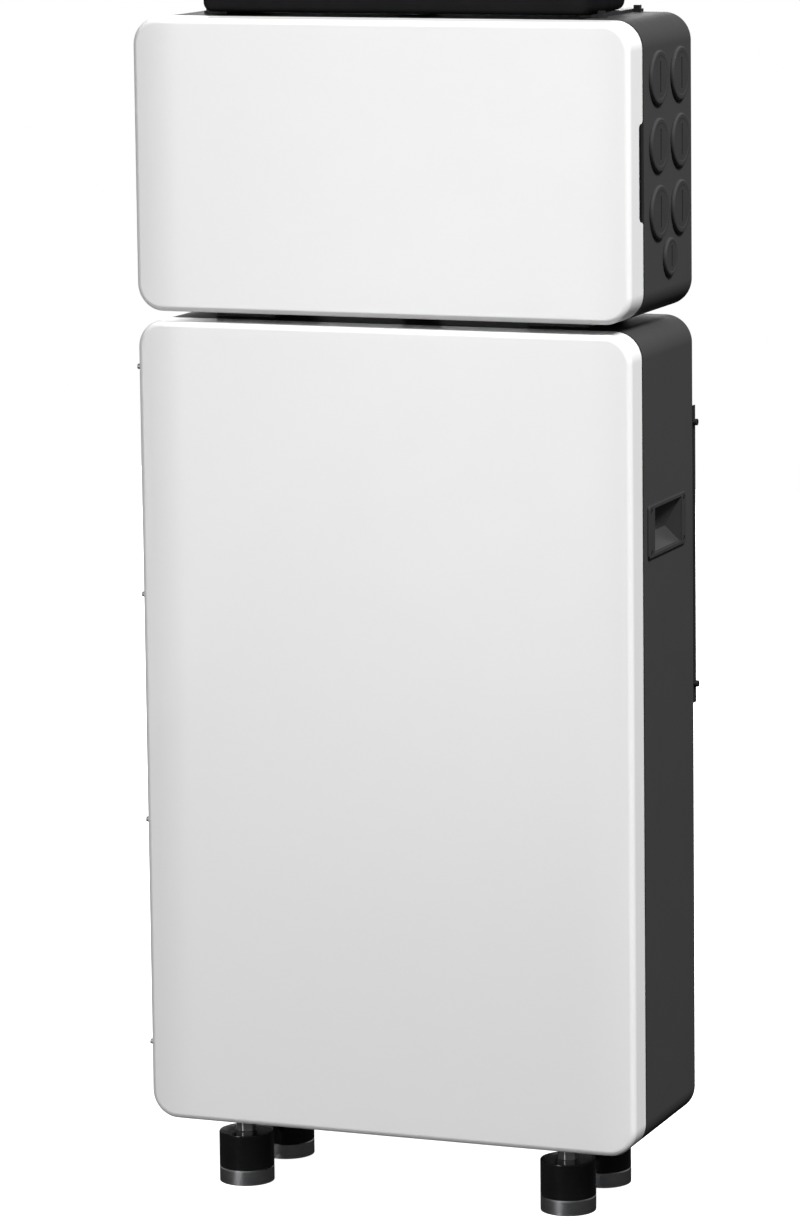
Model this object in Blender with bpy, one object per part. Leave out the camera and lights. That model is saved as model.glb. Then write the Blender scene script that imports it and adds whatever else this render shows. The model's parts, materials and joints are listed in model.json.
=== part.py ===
# Wall battery unit: a battery cabinet on four levelling feet, a wiring box above it and an inverter on top.
# Metres, +Z up. The front faces -Y, the wall is at +Y, and Z = 0 is the floor under the feet.
# X = 0 and Y = 0 are the middle of the unit's width and of its overall depth.
import math

import bmesh
import bpy
from mathutils import Matrix, Vector

# ---- driving dimensions ----
BODY_WIDTH = 0.660            # battery cabinet and wiring box
BODY_DEPTH = 0.2465           # front face to rear face of both boxes
BATTERY_HEIGHT = 1.0357
WIRING_HEIGHT = 0.3699
STACK_GAP = 0.0123            # air gap between the two boxes
BODY_CORNER = 0.035           # corner radius of both boxes, seen from the front
GAP = 0.0003                  # clearance between pieces that touch

# covers and chassis
COVER_WALL = 0.0025
COVER_FILLET = 0.0075         # rounding round the front face
COVER_LIP = 0.012             # return flange behind the cover's rim
SIDE_BOW = 0.003              # how far the front face falls back at its left and right sides
SIDE_BOW_WIDTH = 0.056
BATTERY_COVER_DEPTH = 0.0456
WIRING_COVER_DEPTH = 0.0535
SEAM = 0.005                  # dark joint between a cover and its chassis
CHASSIS_WALL = 0.002
CHASSIS_LIP = 0.016
CHASSIS_REAR_EDGE = 0.003
GASKET_INSET = 0.003
GASKET_WIDTH = 0.009
GRIP_LENGTH = 0.121           # finger grip cut into the wiring cover's skirt
GRIP_DEPTH = 0.0145
GRIP_CENTRE_Z = -0.0013       # from the middle of the wiring box
GRIP_CORNER = 0.007

# cover screws and the bar they hold, in the left skirt
SCREW_COUNT = 4
SCREW_CENTRE_Z = 0.0182       # above the middle of the battery cabinet
SCREW_ENDS = 0.157            # cabinet height beyond the outer screws, both ends together
SCREW_DEPTH = 0.0140
SCREW_HEAD_R = 0.0035
SCREW_HEAD = 0.004
SCREW_SHANK_R = 0.0017
SCREW_EDGE = 0.0007
STIFFENER_THICKNESS = 0.003
STIFFENER_DEPTH = 0.018
STIFFENER_MARGIN = 0.043      # cover height left free above and below the bar
STIFFENER_LEAD = 0.003        # bar front edge ahead of the screws

# recessed handles
HANDLE_LENGTH = 0.145
HANDLE_HEIGHT = 0.0664
HANDLE_PLATE = 0.003
HANDLE_CORNER = 0.005
HANDLE_EDGE = 0.001
HANDLE_DEPTH_CENTRE = 0.1355  # behind the front face
HANDLE_DROP = 0.2525          # below the cabinet's top
MOUTH_LENGTH = 0.106
MOUTH_HEIGHT = 0.057
MOUTH_SHIFT = 0.002           # mouth centre behind the plate's centre
CUP_DEPTH = 0.017
CUP_WALL = 0.002
CUP_OVERLAP = 0.0015          # the cup's wall starts inside the plate
CUP_FRONT_SLOPE = 0.012       # floor edge, in from the mouth's front edge
CUP_REAR_SLOPE = 0.008
CUP_LOWER_SLOPE = 0.020
CUP_UPPER_SLOPE = 0.007
APERTURE_REACH = 0.010        # wall opening tool, each way from the wall

# levelling feet
FOOT_X = 0.221
FOOT_DEPTHS = (0.059, 0.1967)  # behind the front face
FOOT_R = 0.0355
FOOT_BASE = 0.0202
FOOT_SLEEVE = 0.0461
FOOT_HEX = 0.0228             # length of the hexagon between sleeve and cabinet
FOOT_HEX_FLATS = 0.023
FOOT_STUD_R = 0.005
FOOT_TRAVEL = 0.012           # how far a foot screws out
FOOT_ENGAGED = 0.010          # thread left in the cabinet when it is out
FOOT_CHAMFER = 0.0012
SLEEVE_EDGE = 0.0008

# wall bracket
BRACKET_HEIGHT = 0.383
BRACKET_DROP = 0.3072         # middle of the bracket, below the cabinet's top
BRACKET_DEPTH = 0.0085
BRACKET_SHEET = 0.002
BRACKET_OVERHANG = 0.0002     # bracket side beyond the cabinet's side
HANGER_WIDTH = 0.030
HANGER_MARGIN = 0.006
BOLT_PITCH = 0.337
BOLT_DROP = 0.3057
BOLT_HEAD_R = 0.0043
BOLT_HEAD = 0.005
BOLT_SHANK_R = 0.0018
BOLT_SHANK = 0.016
BOLT_EDGE = 0.001

# conduit plugs in the wiring box's right side
PLUG_PITCH = 0.0833
PLUG_DEPTHS = (0.1113, 0.1947)
PLUG_TOP = 0.2968             # top row, above the wiring box's bottom
PLUG_R = 0.034
PLUG_HEAD = 0.0047
PLUG_SLOT = 0.0404
SMALL_PLUG_DEPTH = 0.1527
SMALL_PLUG_HEIGHT = 0.071
SMALL_PLUG_R = 0.0245
SMALL_PLUG_SLOT = 0.0284
PLUG_SLOT_WIDTH = 0.0035
PLUG_SLOT_DEPTH = 0.002
PLUG_SPIGOT_STEP = 0.005      # plug head radius minus spigot radius
PLUG_SPIGOT = 0.010
PLUG_RIM = 0.0025

# inside the battery cabinet
ELECTRONICS_SPACE = 0.4091    # cabinet height kept above the modules
MODULE_WIDTH = 0.174
MODULE_DEPTH = 0.207
MODULE_GAP = 0.012            # between the two modules
CELLS_PER_MODULE = 8
MODULE_END = 0.012
CELL_GROOVE = 0.0015
TRAY_HEIGHT = 0.024
TRAY_SHEET = 0.002
TRAY_MARGIN = 0.006           # tray beyond the modules' sides
CLAMP_SHEET = 0.003
CLAMP_REACH = 0.090           # over the modules, out from the rear wall
CLAMP_HEIGHT = 0.040
LINK_THICKNESS = 0.003
LINK_OVERLAP = 0.020          # past each module's middle
LINK_HEIGHT = 0.025
LINK_DROP = 0.025             # below the modules' top
MANAGER_WIDTH = 0.260
MANAGER_HEIGHT = 0.170
MANAGER_CORNER = 0.018
MANAGER_FLANGE = 0.012
MANAGER_BASE = 0.006
MANAGER_DEPTH = 0.060
MANAGER_EDGE = 0.004
MANAGER_X = -0.080
MANAGER_LIFT = 0.070          # above the modules
FUSE_R = 0.019
FUSE_CAP_R = 0.012
FUSE_HALF_LENGTH = 0.030
FUSE_CAP = 0.015
FUSE_X = 0.170
FUSE_LIFT = 0.130             # above the modules
FUSE_STANDOFF = 0.030         # in front of the rear wall

# inside the wiring box
RAIL_LENGTH = 0.420
RAIL_HEIGHT = 0.035
RAIL_DEPTH = 0.0075
RAIL_FLANGE = 0.005
RAIL_SHEET = 0.001
RAIL_CENTRE = 0.235           # above the wiring box's bottom
BREAKER_WIDTH = 0.054
BREAKER_HEIGHT = 0.085
BREAKER_DEPTH = 0.044
BREAKER_NOSE = 0.022
BREAKER_NOSE_HEIGHT = 0.045
BREAKER_X = (-0.125, 0.0, 0.125)
GROOVE_CLEARANCE = 0.0006     # round a toggle's hub
GROOVE_FLARE = 0.003
HUB_COVER = 0.001             # hub behind the breaker's nose
TOGGLE_HUB_R = 0.0065
TOGGLE_LENGTH = 0.015         # hub centre to tip
TOGGLE_THICKNESS = 0.005
TOGGLE_WIDTH = 0.044
TOGGLE_TAPER = 0.8
TOGGLE_THROW = math.radians(60)
HUB_ARC = math.radians(280)
LOW_ROW = 0.060               # ground bar, above the wiring box's bottom
GROUND_BAR_X = -0.180
GROUND_BAR_SIZE = 0.012
CLAMP_COUNT = 8
CLAMP_PITCH = 0.016
CLAMP_WIDTH = 0.0095
CLAMP_STEP = 0.002
BOARD_LEFT = 0.090
BOARD_WIDTH = 0.180
BOARD_HEIGHT = 0.090
BOARD_DROP = 0.020            # below the low row
BOARD_THICKNESS = 0.002

# inverter
INVERTER_WIDTH = 0.516
INVERTER_FRONT = 0.062        # behind the front face
INVERTER_HEIGHT = 0.400
INVERTER_LIFT = 0.0045        # above the wiring box
INVERTER_CORNER = 0.012
INVERTER_FRONT_DEPTH = 0.020
INVERTER_CASE_DEPTH = 0.116
INVERTER_EDGE = 0.006
INVERTER_INNER_EDGE = 0.008
INVERTER_LIP = 0.014
FIN_INSET = 0.012             # outer fin, in from the inverter's side
FIN_MARGIN = 0.010            # fins end short of the top and the bottom
POWER_BOARD_WIDTH = 0.400
POWER_BOARD_HEIGHT = 0.280
POWER_BOARD_THICKNESS = 0.004
FIN_COUNT = 18
FIN_BASE = 0.006
FIN_THICKNESS = 0.004
RAIL_INSET = 0.022            # inverter foot rail, in from the inverter's side
RAIL_START = 0.090            # behind the front face
RAIL_REAR_MARGIN = 0.001
EAR_OUT = 0.010
EAR_TAB_INSET = 0.002
EAR_LENGTH = 0.012
EAR_HEIGHT = 0.0085
EAR_DEPTHS = (0.098, 0.236)

# cable nipples between the stacked boxes
NIPPLE_R = 0.024
NIPPLE_BORE_R = 0.020
NIPPLE_FLANGE_R = 0.031
NIPPLE_FLANGE = 0.003
NIPPLE_DEPTH = 0.150

# bars between the two boxes
SPACER_INNER = 0.170          # from the middle
SPACER_OUTER = 0.250
SPACER_START = 0.075          # behind the front face
SPACER_REAR_MARGIN = 0.020

# steps per quarter turn, and points per full turn
ARC_STEPS = 6
FILLET_STEPS = 4
GRIP_STEPS = 5
ROUND = 20
SMALL_ROUND = 12
TOOL_LENGTH = 0.020           # cutting tools through sheet
LONG_TOOL = 0.050
OVERSHOOT = 0.002             # cutting tools past the face they open

# ---- derived places ----
HALF_WIDTH = BODY_WIDTH / 2
TOTAL_DEPTH = BODY_DEPTH + BRACKET_DEPTH
FRONT = -TOTAL_DEPTH / 2
REAR = FRONT + BODY_DEPTH
BATTERY_BOTTOM = FOOT_BASE + FOOT_SLEEVE + FOOT_HEX
BATTERY_TOP = BATTERY_BOTTOM + BATTERY_HEIGHT
WIRING_BOTTOM = BATTERY_TOP + STACK_GAP
WIRING_TOP = WIRING_BOTTOM + WIRING_HEIGHT
INVERTER_BOTTOM = WIRING_TOP + INVERTER_LIFT
INNER_REAR = REAR - CHASSIS_WALL
INNER_FLOOR = BATTERY_BOTTOM + CHASSIS_WALL
BRACKET_HALF_WIDTH = HALF_WIDTH + BRACKET_OVERHANG
SCREW_PITCH = (BATTERY_HEIGHT - SCREW_ENDS) / (SCREW_COUNT - 1)
MODULE_HEIGHT = BATTERY_HEIGHT - CHASSIS_WALL - TRAY_HEIGHT - 2 * GAP - ELECTRONICS_SPACE
CELL_THICKNESS = (MODULE_HEIGHT - 2 * MODULE_END) / CELLS_PER_MODULE
MODULE_SPACING = MODULE_WIDTH + MODULE_GAP
TRAY_HALF_WIDTH = MODULE_SPACING / 2 + MODULE_WIDTH / 2 + TRAY_MARGIN

PALETTE = {
    "white_shell": ((0.80, 0.80, 0.80), 0.35, 0.0),
    "dark_shell": ((0.045, 0.045, 0.046), 0.5, 0.0),
    "seal": ((0.01, 0.01, 0.01), 0.8, 0.0),
    "dark_plastic": ((0.045, 0.045, 0.046), 0.4, 0.0),
    "zinc_steel": ((0.55, 0.55, 0.57), 0.35, 1.0),
    "black_steel": ((0.03, 0.03, 0.03), 0.35, 0.6),
    "foot_black": ((0.008, 0.008, 0.009), 0.15, 0.0),
    "foot_steel": ((0.30, 0.31, 0.33), 0.3, 1.0),
    "inverter_black": ((0.012, 0.012, 0.013), 0.45, 0.0),
    "cell_blue": ((0.05, 0.16, 0.42), 0.4, 0.0),
    "copper": ((0.75, 0.36, 0.2), 0.3, 1.0),
    "brass": ((0.75, 0.58, 0.28), 0.3, 1.0),
    "breaker_grey": ((0.62, 0.62, 0.60), 0.5, 0.0),
    "toggle_black": ((0.02, 0.02, 0.02), 0.4, 0.0),
    "board_green": ((0.02, 0.18, 0.08), 0.5, 0.0),
    "fin_aluminium": ((0.6, 0.6, 0.62), 0.4, 1.0),
}


# ---- helpers ----
def finish_material(node, look):
    color, roughness, metallic = PALETTE[look]
    material = bpy.data.materials.new(node + "_finish")
    material.use_nodes = True
    shader = material.node_tree.nodes["Principled BSDF"]
    shader.inputs["Base Color"].default_value = (*color, 1.0)
    shader.inputs["Roughness"].default_value = roughness
    shader.inputs["Metallic"].default_value = metallic
    material.diffuse_color = (*color, 1.0)
    return material


def add_object(name, bm, look=None, location=(0, 0, 0)):
    """Turns the bmesh into a named object; the geometry is given relative to its location."""
    bmesh.ops.recalc_face_normals(bm, faces=bm.faces)
    mesh = bpy.data.meshes.new(name)
    bm.to_mesh(mesh)
    bm.free()
    obj = bpy.data.objects.new(name, mesh)
    obj.location = location
    bpy.context.scene.collection.objects.link(obj)
    mesh.shade_smooth()
    mesh.set_sharp_from_angle(angle=math.radians(35))
    if look:
        mesh.materials.append(finish_material(name, look))
    return obj


def boolean(obj, tool, operation="DIFFERENCE"):
    """Cuts with, or joins on, a tool object that is then only a guide."""
    modifier = obj.modifiers.new(tool.name, "BOOLEAN")
    modifier.object = tool
    modifier.operation = operation
    tool.hide_render = True
    tool.display_type = "WIRE"


def bridge(bm, rings, closed=False, cap="face"):
    """Skins a list of rings that have the same number of points."""
    loops = [[bm.verts.new(point) for point in ring] for ring in rings]
    pairs = list(zip(loops, loops[1:]))
    if closed:
        pairs.append((loops[-1], loops[0]))
    count = len(loops[0])
    for first, second in pairs:
        for i in range(count):
            j = (i + 1) % count
            bm.faces.new((first[i], first[j], second[j], second[i]))
    if closed:
        return
    for loop in (loops[0], loops[-1]):
        if cap == "face":
            bm.faces.new(loop)
            continue
        for i in range(count // 2 - 1):  # strips between the upper and the lower edge
            bm.faces.new((loop[i], loop[i + 1], loop[count - 2 - i], loop[count - 1 - i]))


def rounded_outline(half_w, half_h, radius, stations=()):
    """Rounded rectangle as (x, z): over the top from left to right, back along the bottom."""
    top = []
    for side, start in ((-1, math.pi), (1, math.pi / 2)):
        for i in range(ARC_STEPS + 1):
            angle = start - i * math.pi / 2 / ARC_STEPS
            x = side * (half_w - radius) + radius * math.cos(angle)
            top.append((x, half_h - radius + radius * math.sin(angle)))
        if side < 0:
            top += [(x, half_h) for x in stations]
    return top + [(x, -z) for x, z in reversed(top)]


def box_ring(half_w, half_h, radius, inset, depth, centre_z, stations=(), bow=None):
    """One ring of a box shell, at a depth behind the front face."""
    outline = rounded_outline(half_w - inset, half_h - inset, max(radius - inset, 0.001), stations)
    return [(x, FRONT + depth + (bow(x) if bow else 0.0), centre_z + z) for x, z in outline]


def block(name, low, high, look=None):
    bm = bmesh.new()
    centre = [(a + b) / 2 for a, b in zip(low, high)]
    size = [b - a for a, b in zip(low, high)]
    bmesh.ops.create_cube(bm, size=1.0, matrix=Matrix.Diagonal((*size, 1.0)))
    return add_object(name, bm, look, centre)


def prism(name, outline, start, length, axis, look=None, location=(0, 0, 0)):
    """Extrudes a flat outline along X or Y; the outline is (y, z) for X and (x, z) for Y."""
    bm = bmesh.new()
    rings = []
    for along in (start, start + length):
        if axis == "X":
            rings.append([(along, a, b) for a, b in outline])
        else:
            rings.append([(a, along, b) for a, b in outline])
    bridge(bm, rings)
    return add_object(name, bm, look, location)


def circle(radius, height, steps=ROUND):
    turns = [2 * math.pi * i / steps for i in range(steps)]
    return [(radius * math.cos(a), radius * math.sin(a), height) for a in turns]


def hexagon(flats, height, steps=ROUND):
    """A hexagon with as many points as the round sections it joins."""
    ring = []
    for i in range(steps):
        angle = 2 * math.pi * i / steps
        off_flat = (angle + math.pi / 6) % (math.pi / 3) - math.pi / 6
        reach = flats / 2 / math.cos(off_flat)
        ring.append((reach * math.cos(angle), reach * math.sin(angle), height))
    return ring


def turned(name, profile, look=None, location=(0, 0, 0), turn=None, steps=ROUND, bore=None):
    """Turned piece from (radius, height) pairs; a bore radius makes it a tube."""
    bm = bmesh.new()
    rings = [circle(radius, height, steps) for radius, height in profile]
    if bore:
        rings.append(circle(bore, profile[-1][1], steps))
        rings.append(circle(bore, profile[0][1], steps))
    bridge(bm, rings, closed=bore is not None)
    if turn:
        bmesh.ops.transform(bm, matrix=turn, verts=bm.verts)
    return add_object(name, bm, look, location)


ALONG_X = Matrix.Rotation(math.pi / 2, 4, "Y")    # turns +Z to +X
ALONG_MINUS_X = Matrix.Rotation(-math.pi / 2, 4, "Y")


def through_hole(obj, name, centre, radius, length, turn=None, steps=ROUND):
    ends = [(radius, -length / 2), (radius, length / 2)]
    tool = turned("hole_" + name, ends, None, centre, turn, steps)
    boolean(obj, tool)


# ---- box shells ----
BOW_START = HALF_WIDTH - COVER_FILLET - SIDE_BOW_WIDTH
BOW_STATIONS = [BOW_START, BOW_START + 0.4 * (HALF_WIDTH - BODY_CORNER - BOW_START)]


def side_bow(x):
    """Fall of the front face at a distance x from the middle."""
    share = (abs(x) - BOW_START) / SIDE_BOW_WIDTH
    return SIDE_BOW * min(max(share, 0.0), 1.0) ** 2


def fillet_steps(radius, steps=FILLET_STEPS):
    """(inset, depth) from the side of a box round to its front face."""
    for i in range(steps + 1):
        angle = math.pi / 2 * i / steps
        yield radius * (1 - math.cos(angle)), radius * (1 - math.sin(angle))


def make_cover(name, height, centre_z, skirt):
    stations = [-x for x in reversed(BOW_STATIONS)] + BOW_STATIONS

    def ring(inset, depth, bow=None):
        return box_ring(HALF_WIDTH, height / 2, BODY_CORNER, inset, depth, centre_z, stations, bow)

    inner_fillet = COVER_FILLET - COVER_WALL
    rings = []
    for inset, depth in reversed(list(fillet_steps(inner_fillet))):
        rings.append(ring(COVER_WALL + inset, COVER_WALL + depth, side_bow))
    rings.append(ring(COVER_WALL, skirt - COVER_WALL))
    rings.append(ring(COVER_LIP, skirt - COVER_WALL))
    rings.append(ring(COVER_LIP, skirt))
    rings.append(ring(0.0, skirt))
    for inset, depth in fillet_steps(COVER_FILLET):
        rings.append(ring(inset, depth, side_bow))
    bm = bmesh.new()
    bridge(bm, rings, cap="strips")
    return add_object(name, bm, "white_shell")


def make_chassis(name, height, centre_z, front_depth):
    def ring(inset, depth):
        return box_ring(HALF_WIDTH, height / 2, BODY_CORNER, inset, depth, centre_z)

    rings = [
        ring(CHASSIS_WALL, BODY_DEPTH - CHASSIS_WALL),
        ring(CHASSIS_WALL, front_depth + CHASSIS_WALL),
        ring(CHASSIS_LIP, front_depth + CHASSIS_WALL),
        ring(CHASSIS_LIP, front_depth),
        ring(0.0, front_depth),
    ]
    for inset, depth in fillet_steps(CHASSIS_REAR_EDGE, 2):
        rings.append(ring(inset, BODY_DEPTH - depth))
    bm = bmesh.new()
    bridge(bm, rings, cap="strips")
    return add_object(name, bm, "dark_shell")


def make_gasket(name, height, centre_z, skirt):
    front = skirt + GAP
    back = skirt + SEAM - GAP
    rings = []
    inner = GASKET_INSET + GASKET_WIDTH
    for inset, depth in ((GASKET_INSET, front), (GASKET_INSET, back), (inner, back), (inner, front)):
        rings.append(box_ring(HALF_WIDTH, height / 2, BODY_CORNER, inset, depth, centre_z))
    bm = bmesh.new()
    bridge(bm, rings, closed=True)
    return add_object(name, bm, "seal")


# ---- battery cabinet ----
def make_handle(name, side, chassis):
    """Recessed grip: a plate outside the wall and a tapered cup through it."""
    plate_y = FRONT + HANDLE_DEPTH_CENTRE
    plate_z = BATTERY_TOP - HANDLE_DROP
    bm = bmesh.new()
    rings = []
    for inset, out in ((0.0, GAP), (0.0, HANDLE_PLATE - HANDLE_EDGE), (HANDLE_EDGE, HANDLE_PLATE)):
        outline = rounded_outline(HANDLE_LENGTH / 2 - inset, HANDLE_HEIGHT / 2 - inset, HANDLE_CORNER - inset)
        rings.append([(side * out, y, z) for y, z in outline])
    bridge(bm, rings)
    place = (side * HALF_WIDTH, plate_y, plate_z)
    plate = add_object(name, bm, "dark_plastic", place)

    half_l = MOUTH_LENGTH / 2
    half_h = MOUTH_HEIGHT / 2
    mouth = [(-half_l, half_h), (half_l, half_h), (half_l, -half_h), (-half_l, -half_h)]
    low = CUP_LOWER_SLOPE - half_h
    front = CUP_FRONT_SLOPE - half_l
    floor = [(half_l - CUP_REAR_SLOPE, low), (front, low), (front, half_h - CUP_UPPER_SLOPE)]

    def cup(label, grow, outer, inner):
        shape = bmesh.new()
        for points, out in ((mouth, outer), (mouth, 0.0), (floor, -inner)):  # straight through the plate
            for y, z in points:
                y_grown = y + math.copysign(grow, y) + MOUTH_SHIFT
                shape.verts.new((side * out, y_grown, z + math.copysign(grow, z)))
        bmesh.ops.convex_hull(shape, input=shape.verts)
        return add_object(label + "_" + name, shape, None, place)

    boolean(plate, cup("cup", CUP_WALL, CUP_OVERLAP, CUP_DEPTH + CUP_WALL), "UNION")
    boolean(plate, cup("recess", 0.0, HANDLE_PLATE * 2, CUP_DEPTH))
    reach = CUP_WALL + GAP
    centre_y = plate_y + MOUTH_SHIFT
    xs = sorted((side * (HALF_WIDTH - APERTURE_REACH), side * (HALF_WIDTH + APERTURE_REACH)))
    low = (xs[0], centre_y - half_l - reach, plate_z - half_h - reach)
    high = (xs[1], centre_y + half_l + reach, plate_z + half_h + reach)
    boolean(chassis, block("aperture_" + name, low, high))


def make_cover_screws(cover):
    """Four screws through the left skirt into a bar behind it."""
    centre_z = BATTERY_BOTTOM + BATTERY_HEIGHT / 2
    x_skin = -HALF_WIDTH + COVER_WALL + GAP
    low_y = FRONT + SCREW_DEPTH - STIFFENER_LEAD
    half = BATTERY_HEIGHT / 2 - STIFFENER_MARGIN
    hole_r = SCREW_SHANK_R + GAP
    bar = block("cover_stiffener", (x_skin, low_y, centre_z - half),
                (x_skin + STIFFENER_THICKNESS, low_y + STIFFENER_DEPTH, centre_z + half), "zinc_steel")
    shank = COVER_WALL + STIFFENER_THICKNESS + 3 * GAP
    profile = [(SCREW_SHANK_R, -shank), (SCREW_SHANK_R, GAP), (SCREW_HEAD_R, GAP),
               (SCREW_HEAD_R, SCREW_HEAD - SCREW_EDGE), (SCREW_HEAD_R - SCREW_EDGE, SCREW_HEAD)]
    for i in range(SCREW_COUNT):
        z = centre_z + SCREW_CENTRE_Z + (i - (SCREW_COUNT - 1) / 2) * SCREW_PITCH
        place = (-HALF_WIDTH, FRONT + SCREW_DEPTH, z)
        turned(f"cover_screw_{i + 1}", profile, "zinc_steel", place, ALONG_MINUS_X, SMALL_ROUND)
        for target, label in ((cover, "skirt"), (bar, "bar")):
            through_hole(target, f"{label}_{i + 1}", place, hole_r, TOOL_LENGTH, ALONG_X, SMALL_ROUND)


def make_modules():
    tray_top = INNER_FLOOR + GAP + TRAY_HEIGHT
    tray_front = FRONT + BATTERY_COVER_DEPTH + SEAM + 2 * CHASSIS_WALL
    low = INNER_FLOOR + GAP
    tray_rear = INNER_REAR - GAP
    outline = [
        (tray_front, low), (tray_front, tray_top), (tray_rear, tray_top), (tray_rear, low),
        (tray_rear - TRAY_SHEET, low), (tray_rear - TRAY_SHEET, tray_top - TRAY_SHEET),
        (tray_front + TRAY_SHEET, tray_top - TRAY_SHEET), (tray_front + TRAY_SHEET, low),
    ]
    prism("module_tray", outline, -TRAY_HALF_WIDTH, 2 * TRAY_HALF_WIDTH, "X", "zinc_steel")

    bottom = tray_top + GAP
    rear = INNER_REAR - GAP
    levels = [(0.0, 0.0), (MODULE_END - CELL_GROOVE, 0.0)]
    for i in range(CELLS_PER_MODULE + 1):
        seam = MODULE_END + i * CELL_THICKNESS
        levels += [(seam - CELL_GROOVE, CELL_GROOVE), (seam + CELL_GROOVE, CELL_GROOVE)]
        if i < CELLS_PER_MODULE:
            levels += [(seam + 2 * CELL_GROOVE, 0.0), (seam + CELL_THICKNESS - 2 * CELL_GROOVE, 0.0)]
    levels += [(MODULE_HEIGHT - MODULE_END + 2 * CELL_GROOVE, 0.0), (MODULE_HEIGHT, 0.0)]
    for side, label in ((-1, "left"), (1, "right")):
        bm = bmesh.new()
        rings = []
        for z, inset in levels:
            half = MODULE_WIDTH / 2 - inset
            deep = MODULE_DEPTH / 2 - inset
            rings.append([(-half, -deep, z), (half, -deep, z), (half, deep, z), (-half, deep, z)])
        bridge(bm, rings)
        add_object("cell_module_" + label, bm, "cell_blue",
                   (side * MODULE_SPACING / 2, rear - MODULE_DEPTH / 2, bottom))
    top = bottom + MODULE_HEIGHT
    front = rear - MODULE_DEPTH
    half_link = MODULE_SPACING / 2 + LINK_OVERLAP
    block("module_link", (-half_link, front - GAP - LINK_THICKNESS, top - LINK_DROP - LINK_HEIGHT),
          (half_link, front - GAP, top - LINK_DROP), "copper")
    seat = top + GAP
    tip = rear - CLAMP_REACH
    clamp = [(rear, seat), (tip, seat), (tip, seat + CLAMP_SHEET), (rear - CLAMP_SHEET, seat + CLAMP_SHEET),
             (rear - CLAMP_SHEET, top + CLAMP_HEIGHT), (rear, top + CLAMP_HEIGHT)]
    prism("module_clamp", clamp, -TRAY_HALF_WIDTH, 2 * TRAY_HALF_WIDTH, "X", "zinc_steel")
    return top


def make_battery_electronics(module_top):
    rear = INNER_REAR - GAP
    half_h = MANAGER_HEIGHT / 2
    body = MANAGER_FLANGE
    crown = MANAGER_DEPTH - MANAGER_EDGE
    levels = [(0.0, 0.0), (0.0, MANAGER_BASE), (body, MANAGER_BASE), (body, crown),
              (body + MANAGER_EDGE, MANAGER_DEPTH)]
    bm = bmesh.new()
    rings = []
    for inset, out in levels:
        outline = rounded_outline(MANAGER_WIDTH / 2 - inset, half_h - inset, MANAGER_CORNER - inset)
        rings.append([(x, rear - out, z) for x, z in outline])
    bridge(bm, rings)
    add_object("battery_manager", bm, "inverter_black", (MANAGER_X, 0, module_top + MANAGER_LIFT + half_h))
    half = FUSE_HALF_LENGTH
    end = FUSE_HALF_LENGTH + FUSE_CAP
    fuse = [(FUSE_CAP_R, -end), (FUSE_CAP_R, -half), (FUSE_R, -half),
            (FUSE_R, half), (FUSE_CAP_R, half), (FUSE_CAP_R, end)]
    place = (FUSE_X, rear - FUSE_STANDOFF, module_top + FUSE_LIFT)
    turned("battery_fuse", fuse, "breaker_grey", place, ALONG_X)


def make_feet(chassis):
    sleeve_top = FOOT_BASE + FOOT_SLEEVE
    bore = FOOT_STUD_R + GAP
    centres = [(side * FOOT_X, FRONT + depth) for depth in FOOT_DEPTHS for side in (-1, 1)]
    for i, (x, y) in enumerate(centres, start=1):
        bm = bmesh.new()
        rings = [
            circle(FOOT_R - FOOT_CHAMFER, 0.0),
            circle(FOOT_R, FOOT_CHAMFER),
            circle(FOOT_R, FOOT_BASE - FOOT_CHAMFER),
            circle(FOOT_R - FOOT_CHAMFER, FOOT_BASE - GAP),
            circle(FOOT_STUD_R, FOOT_BASE - GAP),
            circle(FOOT_STUD_R, sleeve_top + GAP),
            hexagon(FOOT_HEX_FLATS, sleeve_top + GAP),
            hexagon(FOOT_HEX_FLATS, BATTERY_BOTTOM - GAP),
            circle(FOOT_STUD_R, BATTERY_BOTTOM - GAP),
            circle(FOOT_STUD_R, BATTERY_BOTTOM + FOOT_TRAVEL + FOOT_ENGAGED),
        ]
        bridge(bm, rings)
        add_object(f"foot_core_{i}", bm, "foot_steel", (x, y, 0))
        profile = [(FOOT_R, FOOT_BASE), (FOOT_R, sleeve_top - SLEEVE_EDGE),
                   (FOOT_R - SLEEVE_EDGE, sleeve_top)]
        turned(f"foot_sleeve_{i}", profile, "foot_black", (x, y, 0), bore=bore)
        through_hole(chassis, f"foot_{i}", (x, y, BATTERY_BOTTOM), bore, TOOL_LENGTH)


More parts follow.
